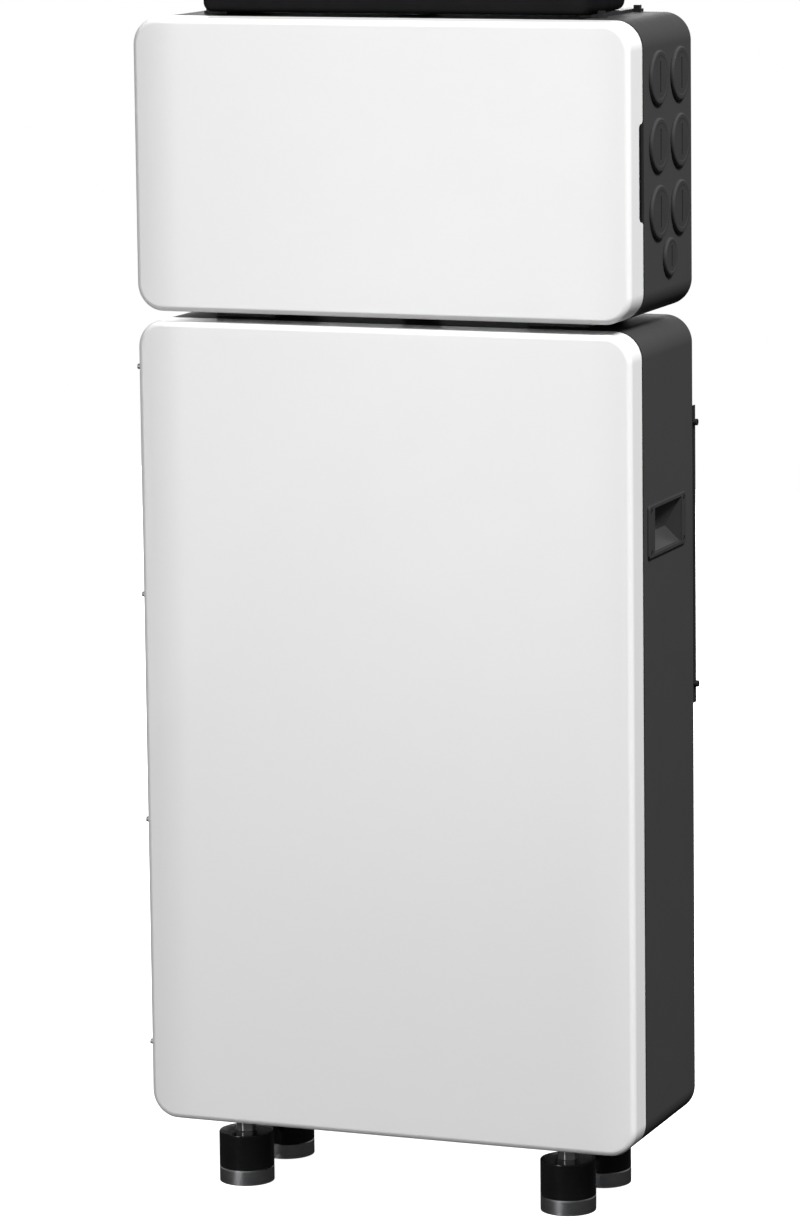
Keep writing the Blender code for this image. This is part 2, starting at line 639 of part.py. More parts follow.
def make_wall_bracket():
    """Channel fixed to the wall, the hanger frame on the cabinet, and the bolts that join them."""
    centre_z = BATTERY_TOP - BRACKET_DROP
    front = REAR + GAP
    back = REAR + BRACKET_DEPTH
    half = BRACKET_HALF_WIDTH
    sheet = BRACKET_SHEET
    web = half - sheet
    outline = [(-half, front), (-half, back), (half, back), (half, front),
               (web, front), (web, back - sheet), (-web, back - sheet), (-web, front)]
    bm = bmesh.new()
    rings = [[(x, y, z) for x, y in outline] for z in (-BRACKET_HEIGHT / 2, BRACKET_HEIGHT / 2)]
    bridge(bm, rings)
    bracket = add_object("wall_bracket", bm, "black_steel", (0, 0, centre_z))
    bolt_y = (front + back - sheet) / 2
    profile = [(BOLT_SHANK_R, -BOLT_SHANK), (BOLT_SHANK_R, GAP), (BOLT_HEAD_R, GAP),
               (BOLT_HEAD_R, BOLT_HEAD - BOLT_EDGE), (BOLT_HEAD_R - BOLT_EDGE, BOLT_HEAD)]
    outer = web - GAP
    inner = outer - HANGER_WIDTH
    top = BRACKET_HEIGHT / 2 - HANGER_MARGIN
    frame = [(-outer, -top), (-outer, top), (outer, top), (outer, -top),
             (inner, -top), (inner, top - HANGER_WIDTH), (-inner, top - HANGER_WIDTH), (-inner, -top)]
    thickness = back - sheet - GAP - front
    hanger = prism("hanger_frame", frame, front, thickness, "Y", "zinc_steel", (0, 0, centre_z))
    hole_r = BOLT_SHANK_R + GAP
    bolt = 1
    for side in (-1, 1):
        for end in (-1, 1):
            place = (side * half, bolt_y, BATTERY_TOP - BOLT_DROP + end * BOLT_PITCH / 2)
            turned(f"bracket_bolt_{bolt}", profile, "black_steel", place,
                   ALONG_X if side > 0 else ALONG_MINUS_X, SMALL_ROUND)
            for target in (bracket, hanger):
                through_hole(target, f"{target.name}_{bolt}", place, hole_r, LONG_TOOL, ALONG_X, SMALL_ROUND)
            bolt += 1


def make_nipple(name, lower_box_top, upper_box_bottom, boxes):
    """Hollow cable nipple that joins two stacked boxes."""
    place = (0, FRONT + NIPPLE_DEPTH, 0)
    low = lower_box_top - CHASSIS_WALL - GAP - NIPPLE_FLANGE
    high = upper_box_bottom + CHASSIS_WALL + GAP + NIPPLE_FLANGE
    low_seat = low + NIPPLE_FLANGE
    high_seat = high - NIPPLE_FLANGE
    profile = [(NIPPLE_FLANGE_R, low), (NIPPLE_FLANGE_R, low_seat), (NIPPLE_R, low_seat),
               (NIPPLE_R, high_seat), (NIPPLE_FLANGE_R, high_seat), (NIPPLE_FLANGE_R, high)]
    turned(name, profile, "zinc_steel", place, bore=NIPPLE_BORE_R)
    middle = (lower_box_top + upper_box_bottom) / 2
    for target in boxes:
        span = upper_box_bottom - lower_box_top + TOOL_LENGTH
        through_hole(target, f"{name}_{target.name}", (0, place[1], middle), NIPPLE_R + GAP, span)


def make_spacers():
    """Two bars that carry the wiring box on the battery cabinet."""
    for side, label in ((-1, "left"), (1, "right")):
        xs = sorted((side * SPACER_INNER, side * SPACER_OUTER))
        block("stack_spacer_" + label, (xs[0], FRONT + SPACER_START, BATTERY_TOP + GAP),
              (xs[1], REAR - SPACER_REAR_MARGIN, WIRING_BOTTOM - GAP), "black_steel")


# ---- wiring box ----
def make_grips(cover):
    """Finger grips cut into the left and right skirts, with rounded ends."""
    centre = WIRING_BOTTOM + WIRING_HEIGHT / 2 + GRIP_CENTRE_Z
    half = GRIP_LENGTH / 2
    rim = FRONT + WIRING_COVER_DEPTH
    bottom = rim - GRIP_DEPTH
    r = GRIP_CORNER
    angles = [math.pi / 2 * i / GRIP_STEPS for i in range(GRIP_STEPS + 1)]
    outline = [(rim + OVERSHOOT, half + r)]
    for angle in angles:  # flared end at the rim
        outline.append((rim - r + r * math.cos(angle) + GAP, half + r - r * math.sin(angle)))
    for angle in angles:  # rounded end at the bottom of the notch
        outline.append((bottom + r - r * math.sin(angle), half - r + r * math.cos(angle)))
    outline += [(y, -z) for y, z in reversed(outline)]
    span = COVER_LIP + 2 * OVERSHOOT
    for side, label in ((-1, "left"), (1, "right")):
        middle = side * (HALF_WIDTH - COVER_LIP / 2)
        tool = prism("grip_" + label, outline, middle - span / 2, span, "X", None, (0, 0, centre))
        boolean(cover, tool)


def make_plug(name, depth, height, radius, slot, chassis):
    place = (HALF_WIDTH, FRONT + depth, WIRING_BOTTOM + height)
    spigot_r = radius - PLUG_SPIGOT_STEP
    rim = PLUG_RIM
    profile = [(spigot_r, -PLUG_SPIGOT), (spigot_r, GAP), (radius, GAP), (radius, PLUG_HEAD - rim),
               (radius - 0.3 * rim, PLUG_HEAD - 0.3 * rim), (radius - rim, PLUG_HEAD)]
    plug = turned(name, profile, "dark_plastic", place, ALONG_X)
    depth_in = PLUG_HEAD - PLUG_SLOT_DEPTH
    low = (place[0] + depth_in, place[1] - PLUG_SLOT_WIDTH / 2, place[2] - slot / 2)
    high = (place[0] + PLUG_HEAD + OVERSHOOT, place[1] + PLUG_SLOT_WIDTH / 2, place[2] + slot / 2)
    boolean(plug, block("slot_" + name, low, high))
    through_hole(chassis, name, place, spigot_r + GAP, TOOL_LENGTH, ALONG_X)


def make_breaker(name, x, front):
    """A rail breaker with a nose that is grooved for its toggle."""
    z = WIRING_BOTTOM + RAIL_CENTRE
    half = BREAKER_HEIGHT / 2
    nose = BREAKER_NOSE_HEIGHT / 2
    groove = TOGGLE_HUB_R + GROOVE_CLEARANCE
    flare = groove + GROOVE_FLARE
    body_front = -BREAKER_DEPTH
    tip = body_front - BREAKER_NOSE
    outline = [(0, -half), (0, half), (body_front, half), (body_front, nose), (tip, nose), (tip, flare)]
    hub_y = tip + TOGGLE_HUB_R + HUB_COVER
    for i in range(ARC_STEPS + 1):
        angle = math.pi / 2 - math.pi * i / ARC_STEPS
        outline.append((hub_y + groove * math.cos(angle), groove * math.sin(angle)))
    outline += [(tip, -flare), (tip, -nose), (body_front, -nose), (body_front, -half)]
    prism(name + "_breaker", outline, -BREAKER_WIDTH / 2, BREAKER_WIDTH, "X", "breaker_grey", (x, front, z))

    lever = []
    steps = 2 * FILLET_STEPS
    for i in range(steps + 1):  # hub, then the two flat sides of the lever
        angle = HUB_ARC * (i / steps - 0.5)
        lever.append((TOGGLE_HUB_R * math.cos(angle), TOGGLE_HUB_R * math.sin(angle)))
    half_tip = TOGGLE_THICKNESS / 2 * TOGGLE_TAPER
    lever += [(-TOGGLE_LENGTH, half_tip), (-TOGGLE_LENGTH, -half_tip)]
    turn = Matrix.Rotation(-TOGGLE_THROW / 2, 2)
    lever = [tuple(turn @ Vector(point)) for point in lever]
    hub = (x, front + hub_y, z)
    prism(name + "_toggle", lever, -TOGGLE_WIDTH / 2, TOGGLE_WIDTH, "X", "toggle_black", hub)


def make_wiring_internals():
    rail_back = INNER_REAR - GAP
    half = RAIL_HEIGHT / 2
    web = half - RAIL_FLANGE
    front = rail_back - RAIL_DEPTH
    s = RAIL_SHEET
    upper = [(rail_back - s, web), (front, web), (front, half), (front + s, half), (front + s, web + s),
             (rail_back, web + s)]
    outline = upper + [(y, -z) for y, z in reversed(upper)]
    prism("din_rail", outline, -RAIL_LENGTH / 2, RAIL_LENGTH, "X", "zinc_steel",
          (0, 0, WIRING_BOTTOM + RAIL_CENTRE))
    for name, x in zip(("battery", "backup", "grid"), BREAKER_X):
        make_breaker(name, x, front - GAP)
    low = WIRING_BOTTOM + LOW_ROW
    half_bar = (CLAMP_COUNT * CLAMP_PITCH - (CLAMP_PITCH - CLAMP_WIDTH)) / 2
    bar = [(half_bar, 0.0), (-half_bar, 0.0)]
    for i in range(CLAMP_COUNT):  # raised clamps with a lower land between neighbours
        left = i * CLAMP_PITCH - half_bar
        bar += [(left, GROUND_BAR_SIZE), (left + CLAMP_WIDTH, GROUND_BAR_SIZE)]
        if i < CLAMP_COUNT - 1:
            land = GROUND_BAR_SIZE - CLAMP_STEP
            bar += [(left + CLAMP_WIDTH, land), (left + CLAMP_PITCH, land)]
    place = (GROUND_BAR_X, rail_back - GROUND_BAR_SIZE, low)
    prism("ground_bar", bar, 0.0, GROUND_BAR_SIZE, "Y", "brass", place)
    board_low = low - BOARD_DROP
    block("control_board", (BOARD_LEFT, rail_back - BOARD_THICKNESS, board_low),
          (BOARD_LEFT + BOARD_WIDTH, rail_back, board_low + BOARD_HEIGHT), "board_green")


# ---- inverter ----
def make_inverter():
    half_w = INVERTER_WIDTH / 2
    half_h = INVERTER_HEIGHT / 2
    centre = INVERTER_BOTTOM + half_h
    seam_depth = INVERTER_FRONT + INVERTER_FRONT_DEPTH
    case_back = seam_depth + GAP + INVERTER_CASE_DEPTH
    wall = CHASSIS_WALL

    def ring(inset, depth):
        return box_ring(half_w, half_h, INVERTER_CORNER, inset, depth, centre)

    bm = bmesh.new()
    inner = INVERTER_INNER_EDGE
    rings = [ring(inner, INVERTER_FRONT + wall), ring(wall, INVERTER_FRONT + inner), ring(wall, seam_depth),
             ring(0.0, seam_depth)]
    rings += [ring(inset, INVERTER_FRONT + depth) for inset, depth in fillet_steps(INVERTER_EDGE)]
    bridge(bm, rings, cap="strips")
    add_object("inverter_front", bm, "inverter_black")

    bm = bmesh.new()
    front = seam_depth + GAP
    lip = INVERTER_LIP
    rings = [ring(wall, case_back - wall), ring(wall, front + wall), ring(lip, front + wall),
             ring(lip, front), ring(0.0, front), ring(0.0, case_back)]
    bridge(bm, rings, cap="strips")
    case = add_object("inverter_case", bm, "inverter_black")

    fin_half = half_w - FIN_INSET
    base = FRONT + case_back + GAP
    pitch = (2 * fin_half - FIN_THICKNESS) / (FIN_COUNT - 1)
    outline = [(-fin_half, base)]
    for i in range(FIN_COUNT):
        x = -fin_half + i * pitch
        outline += [(x, REAR), (x + FIN_THICKNESS, REAR)]
        if i < FIN_COUNT - 1:
            outline += [(x + FIN_THICKNESS, base + FIN_BASE), (x + pitch, base + FIN_BASE)]
    outline += [(fin_half, base)]
    bm = bmesh.new()
    fin_top = half_h - FIN_MARGIN
    bridge(bm, [[(x, y, z) for x, y in outline] for z in (-fin_top, fin_top)])
    add_object("heat_sink", bm, "fin_aluminium", (0, 0, centre))

    board_back = FRONT + case_back - wall - GAP
    board_w = POWER_BOARD_WIDTH / 2
    board_h = POWER_BOARD_HEIGHT / 2
    block("inverter_board", (-board_w, board_back - POWER_BOARD_THICKNESS, centre - board_h),
          (board_w, board_back, centre + board_h), "board_green")
    make_foot_rails(half_w)
    return case


def make_foot_rails(half_w):
    """Rails under the inverter, each with two ears that stand out at its side."""
    low = WIRING_TOP + GAP
    high = INVERTER_BOTTOM - GAP
    for side, label in ((-1, "left"), (1, "right")):
        inner = half_w - RAIL_INSET
        outer = half_w + GAP
        tip = outer + EAR_OUT
        outline = [(inner, FRONT + RAIL_START), (outer, FRONT + RAIL_START)]
        for depth in EAR_DEPTHS:
            near = FRONT + depth - EAR_LENGTH / 2
            far = near + EAR_LENGTH
            outline += [(outer, near), (tip, near), (tip, far), (outer, far)]
        rear = REAR - RAIL_REAR_MARGIN
        outline += [(outer, rear), (inner, rear)]
        bm = bmesh.new()
        bridge(bm, [[(side * x, y, z) for x, y in outline] for z in (low, high)])
        rail = add_object("inverter_rail_" + label, bm, "black_steel")
        for i, depth in enumerate(EAR_DEPTHS):
            xs = sorted((side * outer, side * (tip - EAR_TAB_INSET)))
            half = EAR_LENGTH / 2 - EAR_TAB_INSET
            ear = block(f"ear_{label}_{i}", (xs[0], FRONT + depth - half, (low + high) / 2),
                        (xs[1], FRONT + depth + half, low + EAR_HEIGHT))
            boolean(rail, ear, "UNION")


# ---- assembly ----
def build():
    for obj in list(bpy.data.objects):
        bpy.data.objects.remove(obj, do_unlink=True)
    battery_z = BATTERY_BOTTOM + BATTERY_HEIGHT / 2
    chassis = make_chassis("battery_chassis", BATTERY_HEIGHT, battery_z, BATTERY_COVER_DEPTH + SEAM)
    cover = make_cover("battery_cover", BATTERY_HEIGHT, battery_z, BATTERY_COVER_DEPTH)
    make_gasket("battery_gasket", BATTERY_HEIGHT, battery_z, BATTERY_COVER_DEPTH)
    make_cover_screws(cover)
    make_handle("handle_right", 1, chassis)
    make_handle("handle_left", -1, chassis)
    make_battery_electronics(make_modules())
    make_feet(chassis)
    make_wall_bracket()
    make_spacers()

    wiring_z = WIRING_BOTTOM + WIRING_HEIGHT / 2
    wiring = make_chassis("wiring_chassis", WIRING_HEIGHT, wiring_z, WIRING_COVER_DEPTH + SEAM)
    wiring_cover = make_cover("wiring_cover", WIRING_HEIGHT, wiring_z, WIRING_COVER_DEPTH)
    make_grips(wiring_cover)
    make_gasket("wiring_gasket", WIRING_HEIGHT, wiring_z, WIRING_COVER_DEPTH)
    number = 1
    for row in range(3):
        for depth in PLUG_DEPTHS:
            make_plug(f"conduit_plug_{number}", depth, PLUG_TOP - row * PLUG_PITCH, PLUG_R, PLUG_SLOT, wiring)
            number += 1
    make_plug(f"conduit_plug_{number}", SMALL_PLUG_DEPTH, SMALL_PLUG_HEIGHT, SMALL_PLUG_R, SMALL_PLUG_SLOT,
              wiring)
    make_wiring_internals()

    case = make_inverter()
    make_nipple("battery_nipple", BATTERY_TOP, WIRING_BOTTOM, (chassis, wiring))
    make_nipple("inverter_nipple", WIRING_TOP, INVERTER_BOTTOM, (wiring, case))


build()
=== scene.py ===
import json
import math

import bmesh
import bpy
from mathutils import Matrix, Vector


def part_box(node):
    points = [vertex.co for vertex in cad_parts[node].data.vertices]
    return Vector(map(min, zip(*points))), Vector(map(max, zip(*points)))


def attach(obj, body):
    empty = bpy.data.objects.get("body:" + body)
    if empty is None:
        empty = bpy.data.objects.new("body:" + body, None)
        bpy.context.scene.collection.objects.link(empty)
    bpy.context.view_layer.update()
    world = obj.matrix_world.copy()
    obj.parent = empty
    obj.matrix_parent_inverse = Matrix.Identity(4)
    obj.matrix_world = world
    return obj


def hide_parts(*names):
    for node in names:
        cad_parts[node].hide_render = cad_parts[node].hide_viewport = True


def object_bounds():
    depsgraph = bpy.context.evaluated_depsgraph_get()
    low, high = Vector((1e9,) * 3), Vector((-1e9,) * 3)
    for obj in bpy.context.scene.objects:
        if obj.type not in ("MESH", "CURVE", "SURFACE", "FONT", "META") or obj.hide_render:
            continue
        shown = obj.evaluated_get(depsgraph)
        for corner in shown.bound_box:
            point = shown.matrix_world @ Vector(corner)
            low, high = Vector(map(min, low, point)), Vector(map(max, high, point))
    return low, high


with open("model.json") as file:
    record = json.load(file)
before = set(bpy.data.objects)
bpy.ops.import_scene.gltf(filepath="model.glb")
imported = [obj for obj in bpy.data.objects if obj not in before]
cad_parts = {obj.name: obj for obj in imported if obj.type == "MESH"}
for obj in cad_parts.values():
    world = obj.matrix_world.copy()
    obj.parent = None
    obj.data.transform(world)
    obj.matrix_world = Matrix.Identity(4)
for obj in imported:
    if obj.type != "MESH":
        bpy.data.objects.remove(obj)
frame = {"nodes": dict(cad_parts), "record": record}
cadLow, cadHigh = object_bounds()
bodies = frame["record"]["behaviour"]["bodies"]
print("frame loaded")

quarter = math.pi / 2
alongX = Matrix.Rotation(quarter, 4, "Y")  # +Z turned to +X
alongMinusX = Matrix.Rotation(-quarter, 4, "Y")
alongMinusY = Matrix.Rotation(quarter, 4, "X")


# camera
cameraSetup = {
    "place": (2.4332, -6.2960, 1.8855),
    "lens": 156.97,
    "shift": (-0.05, -0.10),
    "right": (0.9362, 0.3513, -0.0102),
    "forward": (-0.3490, 0.9259, -0.1444),
    "clip": (0.1, 100),
}


def makeCamera(setup):
    data = bpy.data.cameras.new("camera")
    data.lens = setup["lens"]
    data.shift_x, data.shift_y = setup["shift"]
    data.clip_start, data.clip_end = setup["clip"]
    camera = bpy.data.objects.new("camera", data)
    forward = Vector(setup["forward"]).normalized()
    right = Vector(setup["right"])
    right = (right - forward * right.dot(forward)).normalized()
    turn = Matrix((right, right.cross(forward), -forward)).transposed()
    camera.matrix_world = Matrix.Translation(setup["place"]) @ turn.to_4x4()
    bpy.context.scene.collection.objects.link(camera)
    bpy.context.scene.camera = camera


# shape tools
def bodyFor(node):
    return next(name for name, nodes in bodies.items() if node in nodes)


def sharpen(mesh, angle=30):
    mesh.shade_smooth()
    mesh.set_sharp_from_angle(angle=math.radians(angle))


def addPiece(name, bm, finish, place=(0, 0, 0), angle=30):
    bmesh.ops.recalc_face_normals(bm, faces=bm.faces)
    mesh = bpy.data.meshes.new(name)
    bm.to_mesh(mesh)
    bm.free()
    obj = bpy.data.objects.new(name, mesh)
    obj.location = place
    bpy.context.scene.collection.objects.link(obj)
    sharpen(mesh, angle)
    if finish:
        mesh.materials.append(finish)
    return obj


def trim(obj, node):  # a piece that goes with a node
    modifier = obj.modifiers.new("normals", "WEIGHTED_NORMAL")
    modifier.keep_sharp = True
    modifier.weight = 90
    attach(obj, bodyFor(node))


def settle(obj, node):  # a piece that takes a node's place
    trim(obj, node)
    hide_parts(node)


def roundEdges(obj, width, segments, angle):
    bevel = obj.modifiers.new("edges", "BEVEL")
    bevel.width = width
    bevel.segments = segments
    bevel.limit_method = "ANGLE"
    bevel.angle_limit = math.radians(angle)


def applyCuts(obj, tools, angle=30):
    for tool in tools:
        modifier = obj.modifiers.new("cut", "BOOLEAN")
        modifier.object = tool
        modifier.solver = "EXACT"
    bpy.context.view_layer.update()
    graph = bpy.context.evaluated_depsgraph_get()
    mesh = bpy.data.meshes.new_from_object(obj.evaluated_get(graph))
    obj.modifiers.clear()
    old = obj.data
    obj.data = mesh
    bpy.data.meshes.remove(old)
    for tool in tools:
        bpy.data.objects.remove(tool)
    sharpen(mesh, angle)


def skin(bm, rings, closed=False, strips=False):  # faces between rings, then both ends closed
    loops = [[bm.verts.new(point) for point in ring] for ring in rings]
    pairs = list(zip(loops, loops[1:]))
    if closed:
        pairs.append((loops[-1], loops[0]))
    count = len(loops[0])
    for first, second in pairs:
        for i in range(count):
            j = (i + 1) % count
            bm.faces.new((first[i], first[j], second[j], second[i]))
    if closed:
        return
    for loop in (loops[0], loops[-1]):
        if not strips:
            bm.faces.new(loop)
            continue
        for i in range(count // 2 - 1):
            bm.faces.new((loop[i], loop[i + 1], loop[count - 2 - i], loop[count - 1 - i]))


def roundPath(points, radii, steps=6):  # a line with its inner corners rounded
    path = [Vector(points[0])]
    for before, corner, after, radius in zip(points, points[1:], points[2:], radii):
        corner = Vector(corner)
        back = (Vector(before) - corner).normalized()
        ahead = (Vector(after) - corner).normalized()
        half = back.angle(ahead) / 2
        centre = corner + (back + ahead).normalized() * (radius / math.sin(half))
        start = corner + back * (radius / math.tan(half)) - centre
        end = corner + ahead * (radius / math.tan(half)) - centre
        turns = steps if radius > 0.002 else max(2, steps // 3)
        for i in range(turns + 1):
            path.append(centre + start.slerp(end, i / turns) * radius)
    path.append(Vector(points[-1]))
    return path


def roundedOutline(halfWidth, halfHeight, radius, arcSteps, stations=()):  # top, left to right, then bottom
    top = []
    for side, start in ((-1, math.pi), (1, quarter)):
        for i in range(arcSteps + 1):
            angle = start - i * quarter / arcSteps
            x = side * (halfWidth - radius) + radius * math.cos(angle)
            top.append((x, halfHeight - radius + radius * math.sin(angle)))
        if side < 0:
            top += [(x, halfHeight) for x in stations]
    return top + [(x, -z) for x, z in reversed(top)]


def circle(radius, height, steps):
    turns = [2 * math.pi * i / steps for i in range(steps)]
    return [(radius * math.cos(a), radius * math.sin(a), height) for a in turns]


def turned(name, profile, finish, place, turn=None, steps=96, bore=None, angle=30):
    bm = bmesh.new()
    rings = [circle(radius, height, steps) for radius, height in profile]
    if bore:
        rings += [circle(bore, profile[-1][1], steps), circle(bore, profile[0][1], steps)]
    skin(bm, rings, closed=bore is not None)
    if turn:
        bmesh.ops.transform(bm, matrix=turn, verts=bm.verts)
    return addPiece(name, bm, finish, place, angle)


def boxTool(name, low, high):
    bm = bmesh.new()
    size = [b - a for a, b in zip(low, high)]
    bmesh.ops.create_cube(bm, size=1.0, matrix=Matrix.Diagonal((*size, 1.0)))
    return addPiece(name, bm, None, [(a + b) / 2 for a, b in zip(low, high)])


def prismTool(name, outline, start, end, place):  # an outline drawn out along X
    bm = bmesh.new()
    skin(bm, [[(x, y, z) for y, z in outline] for x in (start, end)])
    return addPiece(name, bm, None, place)


def cluster(name, blocks, finish, edge=0.0004):  # several round-edged blocks as one piece
    bm = bmesh.new()
    for low, high in blocks:
        size = [b - a for a, b in zip(low, high)]
        middle = Matrix.Translation([(a + b) / 2 for a, b in zip(low, high)])
        bmesh.ops.create_cube(bm, size=1.0, matrix=middle @ Matrix.Diagonal((*size, 1.0)))
    bmesh.ops.bevel(bm, geom=bm.edges[:], offset=edge, segments=2, profile=0.5, affect="EDGES")
    return addPiece(name, bm, finish)


head = {"edgeShare": 0.3, "dimple": 0.45, "dimpleTaper": 0.85, "dimpleDepth": 1.4, "steps": 32}


def heads(name, spots, radius, height, finish, turn=alongMinusY, dimple=None):  # round screw heads
    bm = bmesh.new()
    edge = height * head["edgeShare"]
    corner = edge * head["edgeShare"]
    inner = radius * (dimple or head["dimple"])
    profile = [(radius, 0.0), (radius, height - edge), (radius - corner, height - corner),
               (radius - edge, height), (inner, height),
               (inner * head["dimpleTaper"], height - head["dimpleDepth"] * edge)]
    for spot in spots:
        before = set(bm.verts)
        skin(bm, [circle(r, h, head["steps"]) for r, h in profile])
        fresh = [v for v in bm.verts if v not in before]
        bmesh.ops.transform(bm, matrix=Matrix.Translation(spot) @ turn, verts=fresh)
    return addPiece(name, bm, finish)


# finishes
def newFinish(name):
    material = bpy.data.materials.new(name)
    material.use_nodes = True
    nodes = material.node_tree.nodes
    return material, nodes, material.node_tree.links, nodes["Principled BSDF"]


def noise(nodes, links, source, scale, detail=2.0, stretch=None):
    texture = nodes.new("ShaderNodeTexNoise")
    texture.inputs["Scale"].default_value = scale
    texture.inputs["Detail"].default_value = detail
    if stretch:
        mapping = nodes.new("ShaderNodeMapping")
        mapping.inputs["Scale"].default_value = stretch
        links.new(source, mapping.inputs["Vector"])
        source = mapping.outputs["Vector"]
    links.new(source, texture.inputs["Vector"])
    return texture.outputs["Fac"]


def spread(nodes, links, source, low, high, fromLow=0.3, fromHigh=0.7):
    mapRange = nodes.new("ShaderNodeMapRange")
    mapRange.inputs["From Min"].default_value = fromLow
    mapRange.inputs["From Max"].default_value = fromHigh
    mapRange.inputs["To Min"].default_value = low
    mapRange.inputs["To Max"].default_value = high
    links.new(source, mapRange.inputs["Value"])
    return mapRange.outputs["Result"]


def blendColors(nodes, links, amount, first, second):
    mix = nodes.new("ShaderNodeMix")
    mix.data_type = "RGBA"
    for socket, value in ((mix.inputs[6], first), (mix.inputs[7], second)):
        if hasattr(value, "is_output"):
            links.new(value, socket)
        else:
            socket.default_value = (*value, 1.0)
    links.new(amount, mix.inputs[0])
    return mix.outputs[2]


def shade(color, factor):
    return tuple(min(c * factor, 1.0) for c in color)


surface = {"detail": 3.0, "patchScale": 5, "patchDetail": 2.0, "stainDark": 0.86, "stainLight": 1.08,
           "polished": -0.08, "dull": 0.10, "lineDepth": 0.0002}


def addBump(nodes, links, shader, height, strength, depth):
    bump = nodes.new("ShaderNodeBump")
    bump.inputs["Strength"].default_value = strength
    bump.inputs["Distance"].default_value = depth
    links.new(height, bump.inputs["Height"])
    links.new(bump.outputs["Normal"], shader.inputs["Normal"])


def coated(name, look):  # painted or moulded surface with a fine grain
    material, nodes, links, shader = newFinish(name)
    place = nodes.new("ShaderNodeTexCoord").outputs["Object"]
    mottle = noise(nodes, links, place, look["mottleScale"], surface["detail"])
    dark, light = shade(look["color"], 1 - look["mottle"]), shade(look["color"], 1 + look["mottle"])
    tint = blendColors(nodes, links, spread(nodes, links, mottle, 0.0, 1.0), dark, light)
    links.new(tint, shader.inputs["Base Color"])
    patches = noise(nodes, links, place, look["mottleScale"] * surface["patchScale"], surface["patchDetail"])
    rough = look["roughness"]
    links.new(spread(nodes, links, patches, rough - look["roughSpread"], rough + look["roughSpread"]),
              shader.inputs["Roughness"])
    grain = noise(nodes, links, place, look["grainScale"], surface["detail"])
    addBump(nodes, links, shader, grain, look["grainStrength"], look["grainDepth"])
    shader.inputs["Metallic"].default_value = 0.0
    shader.inputs["Specular IOR Level"].default_value = look["specular"]
    shader.inputs["Coat Weight"].default_value = look.get("coat", 0.0)
    shader.inputs["Coat Roughness"].default_value = look.get("coatRoughness", 0.1)
    return material


def worked(name, look):  # metal with drawn or turned lines
    material, nodes, links, shader = newFinish(name)
    place = nodes.new("ShaderNodeTexCoord").outputs["Object"]
    lines = noise(nodes, links, place, 1.0, surface["detail"], look["lines"])
    stains = noise(nodes, links, place, look["stainScale"], surface["detail"])
    dark, light = shade(look["color"], surface["stainDark"]), shade(look["color"], surface["stainLight"])
    tint = blendColors(nodes, links, spread(nodes, links, stains, 0.0, 1.0), dark, light)
    links.new(tint, shader.inputs["Base Color"])
    rough = look["roughness"]
    links.new(spread(nodes, links, lines, rough + surface["polished"], rough + surface["dull"]),
              shader.inputs["Roughness"])
    addBump(nodes, links, shader, lines, look["lineStrength"], surface["lineDepth"])
    shader.inputs["Metallic"].default_value = 1.0
    return material


whiteLook = {"color": (0.80, 0.80, 0.80), "roughness": 0.30, "roughSpread": 0.012, "mottle": 0.003,
             "mottleScale": 4.0, "grainScale": 500.0, "grainStrength": 0.02, "grainDepth": 0.0003,
             "specular": 0.75}
darkLook = {"color": (0.045, 0.045, 0.046), "roughness": 0.58, "roughSpread": 0.03, "mottle": 0.025,
            "mottleScale": 9.0, "grainScale": 700.0, "grainStrength": 0.045, "grainDepth": 0.0003,
            "specular": 0.15}
plasticLook = {"color": (0.040, 0.040, 0.041), "roughness": 0.24, "roughSpread": 0.03, "mottle": 0.05,
               "mottleScale": 30.0, "grainScale": 700.0, "grainStrength": 0.015, "grainDepth": 0.0002,
               "specular": 0.55}
sealLook = {"color": (0.008, 0.008, 0.008), "roughness": 0.85, "roughSpread": 0.08, "mottle": 0.3,
            "mottleScale": 60.0, "grainScale": 900.0, "grainStrength": 0.6, "grainDepth": 0.0006,
            "specular": 0.1}
blackSteelLook = {"color": (0.022, 0.022, 0.023), "roughness": 0.42, "roughSpread": 0.08,
                  "mottle": 0.15, "mottleScale": 40.0, "grainScale": 1300.0, "grainStrength": 0.15,
                  "grainDepth": 0.0003, "specular": 0.3}
footBlackLook = {"color": (0.011, 0.011, 0.0115), "roughness": 0.16, "roughSpread": 0.04, "mottle": 0.2,
                 "mottleScale": 30.0, "grainScale": 700.0, "grainStrength": 0.03, "grainDepth": 0.0002,
                 "specular": 0.5, "coat": 0.3, "coatRoughness": 0.06}
inverterLook = {"color": (0.006, 0.006, 0.0063), "roughness": 0.50, "roughSpread": 0.05, "mottle": 0.08,
                "mottleScale": 20.0, "grainScale": 1200.0, "grainStrength": 0.12, "grainDepth": 0.0003,
                "specular": 0.06}
cellLook = {"color": (0.03, 0.12, 0.36), "roughness": 0.36, "roughSpread": 0.03, "mottle": 0.04,
            "mottleScale": 25.0, "grainScale": 160.0, "grainStrength": 0.25, "grainDepth": 0.0006,
            "specular": 0.5}
shellLook = {"color": (0.60, 0.60, 0.58), "roughness": 0.48, "roughSpread": 0.05, "mottle": 0.02,
             "mottleScale": 40.0, "grainScale": 1500.0, "grainStrength": 0.10, "grainDepth": 0.0002,
             "specular": 0.4}
toggleLook = {"color": (0.014, 0.014, 0.014), "roughness": 0.38, "roughSpread": 0.06, "mottle": 0.1,
              "mottleScale": 60.0, "grainScale": 1500.0, "grainStrength": 0.10, "grainDepth": 0.0002,
              "specular": 0.4}
boardLook = {"color": (0.015, 0.14, 0.06), "roughness": 0.36, "roughSpread": 0.06, "mottle": 0.18,
             "mottleScale": 70.0, "grainScale": 420.0, "grainStrength": 0.25, "grainDepth": 0.0003,
             "specular": 0.5}
